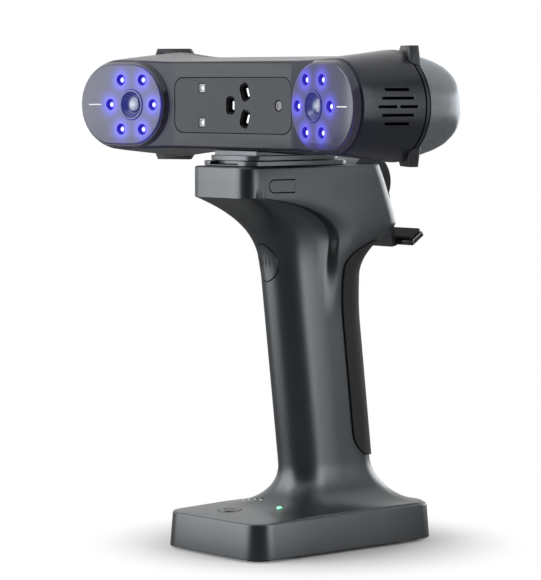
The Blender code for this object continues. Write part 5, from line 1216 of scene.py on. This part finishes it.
def make_keys():
    """Three rear keys with a dished face, and the signs on them."""
    radius, proud, arm = KEY_RADIUS, KEY_PROUD, KEY_RADIUS * SIGN_SHARE
    profile = [(-2 * WALL, 0.0), (-2 * WALL, radius), (proud / 2, radius),
               (proud * 5 / 6, radius - proud / 6), (proud, radius - proud / 2),
               (proud * 7 / 8, radius * KEY_DISH_SHARE), (proud * 5 / 6, 0.0)]
    level, upright = line((-arm, 0.0), (arm, 0.0)), line((0.0, -arm), (0.0, arm))
    signs = {"key_minus": [level], "key_scan": [arc((0.0, 0.0), arm, 0.0, 360.0)],
             "key_plus": [level, upright]}
    for k, (node, lines) in zip((-1, 0, 1), signs.items()):
        key = form(node, turned(profile), RUBBER, AT_HEAD + Vector((k * KEY_PITCH, REAR_DEPTH, 0.0)))
        put(ink(node + "_sign", lines, SIGN_WIDTH, draped(key, "-Y"), INK, key), node)


# Handle pieces.

def handle_outer_rings(inset=0.0):
    """The handle's outside from the base's lower rim to the cradle's top, with rounded edges."""
    rings = [base_ring(inset + size, push) for size, push in edge_steps(BASE_LOW_EDGE)]
    rings += [base_ring(inset + BASE_DRAFT + size, BASE_HEIGHT - push)
              for size, push in reversed(edge_steps(BASE_EDGE))]
    middle = (CRADLE_LOW + CRADLE_TOP - CRADLE_EDGE) / 2
    rings += [section_ring(handle_section(z), z, inset) for z in (*handle_heights(), middle)]
    return rings + [section_ring(handle_section(CRADLE_TOP), CRADLE_TOP - push, inset + size)
                    for size, push in reversed(edge_steps(CRADLE_EDGE))]


def handle_inner_rings():
    """The hollow, from its ceiling in the cradle down to the opening under the base."""
    foot = FOOT_LOW + FOOT_FILLET_HEIGHT
    spans = [(z, z, WALL) for z in (CRADLE_TOP - WALL, CRADLE_LOW + WALL)]
    spans += [(z, z + WALL, WALL) for z in shares(CRADLE_LOW, FLARE_LOW, FLARE_STEPS // 4)[1:]]
    spans += [(z, z, WALL) for z in shares(FLARE_LOW - WALL, foot, GRIP_STEPS // 2)]
    spans += [(z, z - WALL, WALL / 2) for z in shares(foot, FOOT_LOW, FILLET_STEPS // 4)[1:]]
    rings = [section_ring(handle_section(z), level, inset) for z, level, inset in spans]
    return rings + [base_ring(WALL + BASE_DRAFT, BASE_HEIGHT - WALL - BASE_EDGE), base_ring(WALL, 0.0)]


def trigger_prism(grow):
    outline = ellipse(TRIGGER_HALF_WIDTH + grow, TRIGGER_HALF_HEIGHT + grow)
    front = grip_front(TRIGGER_HEIGHT)
    return slab(shifted(outline, 0.0, TRIGGER_HEIGHT), front - TRIGGER_HALF_WIDTH, front + TRIGGER_DEEP, "Y")


def make_handle_shell():
    plate = rounded_rectangle(PLATE_HALF_WIDTH - 2 * WALL, PLATE_HALF_DEPTH - 2 * WALL, PLATE_CORNER / 2)
    top_hole = slab(shifted(plate, 0.0, PLATE_MIDDLE), CRADLE_TOP - WALL - OVERRUN, CRADLE_TOP + OVERRUN, "Z")
    bores = [side_prism(tab_outline(TAB_GROOVE), side * (CRADLE_HALF_WIDTH + OVERRUN),
                        side * (CRADLE_HALF_WIDTH - WALL - OVERRUN)) for side in (-1, 1)]
    spots = [(x, y, LAMP_RADIUS) for x, y in lamp_places()]
    spots += [(*CHARGE_LAMP_PLACE, CHARGE_LAMP_RADIUS), (*POWER_PLACE, POWER_RADIUS)]
    for x, y, radius in spots:
        ends = (BASE_HEIGHT - WALL - BASE_EDGE - OVERRUN, max(FOOT_LOW, surface_height(x, y)) + OVERRUN)
        bores.append(round_mesh([(end, radius + GAP) for end in ends], "Z", SMALL_ROUND_STEPS, (x, y, 0.0)))
    bores.append(slab(shifted(socket_outline(), 0.0, CHARGE_SOCKET_HEIGHT), BASE_REAR - WALL - OVERRUN,
                      BASE_REAR + OVERRUN, "Y"))
    low, high = (corner - AT_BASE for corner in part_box("hinge_yoke"))
    yoke_slot = box_mesh((low.x - GAP, low.y - GAP, low.z - GAP),
                         (high.x + GAP, BASE_REAR, CRADLE_TOP + OVERRUN))
    meshes = (top_hole, trigger_prism(GAP + SEAT), joined(*bores), yoke_slot)
    form("handle_shell", loft(handle_inner_rings() + handle_outer_rings()), SHELL,
         cuts=[piece("cut", bm, GROOVE) for bm in meshes])


def make_trigger():
    """The trigger button's cap and the play and pause sign on it."""
    body = piece("body", loft(handle_outer_rings(-TRIGGER_PROUD)), SHELL)
    cap = form("trigger_button", trigger_prism(0.0), SHELL, cuts=[body], operation="INTERSECT",
               edge=TRIGGER_EDGE, segments=3)
    half, wide = SIGN_TALL / 2, SIGN_WIDE / 2
    corners = ((-wide, -half), (-wide, half), (-wide / 4, 0.0))
    lines = [line(first, last) for first, last in zip(corners, corners[1:] + corners[:1])]
    lines += [line((x, -half), (x, half)) for x in (wide / 3, wide)]
    lines = [shifted(points, 0.0, TRIGGER_HEIGHT) for points in lines]
    put(ink("trigger_sign", lines, SIGN_WIDTH, draped(cap, "Y"), DARK_INK, cap), "trigger_button")


def make_power_key():
    """The power key, a touch dished, with its sign."""
    radius, proud = POWER_RADIUS, POWER_PROUD
    key = turned([(-2 * WALL, 0.0), (-2 * WALL, radius), (-proud / 2, radius),
                  (proud / 2, radius - proud / 3), (proud, radius - proud), (proud, radius - 2 * proud),
                  (proud * 0.6, radius - 3 * proud), (proud * 0.3, 0.0)])
    bmesh.ops.rotate(key, cent=ORIGIN, matrix=Matrix.Rotation(math.pi / 2, 3, "X"), verts=key.verts)
    key = form("power_button", key, SHELL, AT_BASE + Vector((*POWER_PLACE, base_top(POWER_PLACE[1]))))
    size = radius * POWER_SIGN_SHARE
    bar = [(0.0, size * share) for share in POWER_SIGN_BAR]
    lines = [arc((0.0, 0.0), size, *POWER_SIGN_SPAN), line(*bar)]
    put(ink("power_sign", lines, SIGN_WIDTH, draped(key, "Z"), DARK_INK, key), "power_button")


def make_lamps():
    """Domed ends of the battery lamps and of the green lamp."""
    low, pins = BASE_HEIGHT - 2 * WALL, []
    for x, y in lamp_places():
        surface = surface_height(x, y)
        top = surface if surface > FOOT_LOW + GAP else base_top(y)
        profile = [(low, LAMP_RADIUS), (top, LAMP_RADIUS), (top + SEAT / 2, LAMP_RADIUS * LAMP_TIP)]
        pins.append(round_mesh(profile, "Z", SMALL_ROUND_STEPS, (x, y, 0.0)))
    form("battery_lamps", joined(*pins), PALE_LIT)
    x, y = CHARGE_LAMP_PLACE
    top = max(base_top(y), surface_height(x, y))
    dome = [(top + CHARGE_LAMP_DOME * math.sin(t), CHARGE_LAMP_RADIUS * math.cos(t) + SEAT / 4)
            for t in quarter(EDGE_STEPS)]
    lamp = round_mesh([(low, dome[0][1]), *dome], "Z", SMALL_ROUND_STEPS, (x, y, 0.0))
    form("charge_lamp", lamp, GREEN_LIT)


def make_tabs():
    for side, word in SIDES:
        tab = side_prism(tab_outline(0.0), side * CRADLE_HALF_WIDTH, side * (CRADLE_HALF_WIDTH - TAB_THICK))
        form("release_tab_" + word, tab, SHELL, edge=SEAT)


def make_grip_pad():
    """The rubber pad that wraps the grip's back, with rounded rims."""
    ends = (PAD_LOW - OVERRUN, PAD_HIGH + OVERRUN)
    between = [height for height in handle_heights() if ends[0] + GAP < height < ends[1] - GAP]
    rings = []
    for height in (ends[0], *between, ends[1]):
        section = handle_section(height)
        rings.append(pad_curve(section, height, GAP + PAD_THICK) + pad_curve(section, height, GAP)[::-1])
    reach = CRADLE_HALF_WIDTH + PAD_THICK + OVERRUN
    side_view = piece("side_view", side_prism(pad_outline(), -reach, reach), PAD)
    form("grip_pad", loft(rings), PAD, cuts=[side_view], operation="INTERSECT", edge=PAD_EDGE,
         angle=PAD_SHARP_ANGLE)


def make_feet():
    profile = [(-FOOT_PROUD * deep, FOOT_RADIUS * wide) for deep, wide in FOOT_EDGE_SHARES]
    profile.append((GAP, FOOT_RADIUS))
    side = BASE_HALF_WIDTH - FOOT_INSET
    places = [(x, y, 0.0) for y in (BASE_FRONT + FOOT_INSET, BASE_REAR - FOOT_INSET) for x in (-side, side)]
    for number, place in enumerate(places, 1):
        form("foot_" + str(number), round_mesh(profile, "Z", ROUND_STEPS, place), RUBBER)


def dress_nodes():
    """Rounded copies of the box-like parts, and finishes for the parts inside."""
    rounded = {"cradle_plate": (PLATE_EDGE, PLATE), "head_shoe": (PLATE_EDGE, PLATE),
               "hinge_yoke": (GAP, BLACK_GLOSS), "holder_arm": (GAP, BLACK_GLOSS),
               "lower_jaw": (JAW_EDGE, BLACK_GLOSS), "upper_jaw": (JAW_EDGE, BLACK_GLOSS),
               "lower_jaw_pad": (GAP, RUBBER), "upper_jaw_pad": (GAP, RUBBER), "base_cover": (GAP, BLACK)}
    for corner in ("lower_left", "upper_left", "lower_right", "upper_right"):
        rounded["bumper_" + corner] = (BUMPER_EDGE, BUMPER)
        rounded["case_screw_" + corner] = (SEAT, DARK_METAL)
    for node, (width, material) in rounded.items():
        dress(node, width, material)
    kept = {"optical_bench": BLACK, "main_board": BOARD, "rear_board": BOARD, "base_board": BOARD,
            "heat_sink": DARK_METAL, "laser_projector": GROOVE, "data_socket": METAL,
            "charge_socket": METAL, "battery_cell_front": SLEEVE, "battery_cell_rear": SLEEVE,
            "cell_shelf_lower": BLACK, "cell_shelf_upper": BLACK, "trigger_switch": BLACK, "hinge_pin": METAL}
    for node, material in kept.items():
        materials = NODES[node].data.materials
        materials.clear()
        materials.append(material)


make_front_shell()
make_rear_shell()
for side, word in SIDES:
    make_camera_module(side, word)
make_window()
make_keys()
make_handle_shell()
make_trigger()
make_power_key()
make_lamps()
make_tabs()
make_grip_pad()
make_feet()
dress_nodes()


# Stage, light and camera.

def stage_nodes(name):
    """The nodes of a new material, with an output and nothing else."""
    n = new_nodes(name)
    n.tree.nodes.clear()
    return n, n.add("ShaderNodeOutputMaterial")


def round_card(name, radius, material, height=0.0):
    bm = bmesh.new()
    bmesh.ops.create_circle(bm, cap_ends=True, segments=ROUND_STEPS, radius=radius)
    return piece(name, bm, material, (0.0, 0.0, height))


def make_floor():
    """A pale floor that keeps the shadow near the object and turns plain white away from it.

    Reflections pass it by and show the white surroundings and the lamps below its level.
    """
    n, output = stage_nodes("pale_floor")
    diffuse = n.add("ShaderNodeBsdfDiffuse", {"Color": (FLOOR_TONE, FLOOR_TONE, FLOOR_TONE)})
    white = n.add("ShaderNodeEmission")
    x, y, _ = n.places()
    share = n.math("MULTIPLY", n.window(n.length(x, y), *FLOOR_FADE), n.seen())
    blend = n.add("ShaderNodeMixShader", {0: share, 1: diffuse.outputs[0], 2: white.outputs[0]})
    n.fill(output, {"Surface": blend.outputs[0]})
    floor = round_card("floor", FLOOR_RADIUS, n.owner)
    floor.visible_glossy = False


def aim(obj, azimuth, elevation, distance, target):
    """Places an object round the target and turns its -Z axis to it."""
    a, e = math.radians(azimuth), math.radians(elevation)
    way = Vector((math.sin(a) * math.cos(e), -math.cos(a) * math.cos(e), math.sin(e)))
    obj.location = Vector(target) + way * distance
    obj.rotation_euler = (-way).to_track_quat("-Z", "Y").to_euler()


def panel_size(first, last):
    """Width of an upright panel that spans two azimuths as the object sees it."""
    return 2 * PANEL_DISTANCE * math.tan(math.radians(last - first) / 2)


def softbox(name, first, last, radiance, height=PANEL_HEIGHT, middle=PANEL_MIDDLE):
    """An upright lamp panel between two azimuths."""
    light = bpy.data.lights.new(name, "AREA")
    light.shape = "RECTANGLE"
    light.size, light.size_y = panel_size(first, last), height
    light.energy = radiance * math.pi * light.size * light.size_y
    lamp = show(name, light)
    lamp.visible_camera = False
    aim(lamp, (first + last) / 2, 0.0, PANEL_DISTANCE, (0.0, 0.0, middle))


def card_material(name, tone):
    n, output = stage_nodes(name)
    dull = n.add("ShaderNodeEmission", {"Color": (tone, tone, tone)})
    n.fill(output, {"Surface": dull.outputs[0]})
    return n.owner


def reflect_only(card):
    card.visible_camera = card.visible_shadow = card.visible_diffuse = card.visible_transmission = False


def flag(name, first, last):
    """An upright dark card between two azimuths that only reflections see."""
    bm = bmesh.new()
    bmesh.ops.create_grid(bm, x_segments=1, y_segments=1, size=0.5)
    bmesh.ops.scale(bm, vec=(panel_size(first, last), PANEL_HEIGHT, 1.0), verts=bm.verts)
    card = piece(name, bm, card_material(name, FLAG_TONE))
    aim(card, (first + last) / 2, 0.0, PANEL_DISTANCE, (0.0, 0.0, PANEL_MIDDLE))
    reflect_only(card)


def make_world():
    """Plain white to the eye and in reflections, a softer grey as light."""
    world = bpy.data.worlds.new("studio")
    bpy.context.scene.world = world
    world.use_nodes = True
    n = Nodes(world)
    strength = n.span(n.seen(), WORLD_FILL, 1.0)
    n.fill(n.tree.nodes["Background"], {"Color": (1.0, 1.0, 1.0), "Strength": strength})


def make_camera():
    data = bpy.data.cameras.new("photo_camera")
    data.sensor_fit = "VERTICAL"
    data.sensor_height = SENSOR
    data.lens = FOCAL_LENGTH
    camera = show("photo_camera", data)
    aim(camera, CAMERA_AZIMUTH, CAMERA_ELEVATION, CAMERA_DISTANCE, AT_BASE + Vector(CAMERA_TARGET))
    bpy.context.scene.camera = camera


make_floor()
low_card = card_material("low_card", LOW_CARD_TONE)
reflect_only(round_card("low_card", LOW_CARD_RADIUS, low_card, -LOW_CARD_DEEP))
make_world()
softbox("front_softbox", *FRONT_SPAN, FRONT_RADIANCE)
softbox("side_softbox", *SIDE_SPAN, SIDE_RADIANCE)
flag("corner_flag", FRONT_SPAN[1] + 1.0, SIDE_SPAN[0] - 1.0)
flag("rear_flag", SIDE_SPAN[1] + 1.0, RIM_SPAN[0] - 1.0)
softbox("rim_softbox", *RIM_SPAN, RIM_RADIANCE, RIM_HEIGHT, RIM_MIDDLE)
make_camera()
bpy.context.scene.view_settings.view_transform = "Standard"
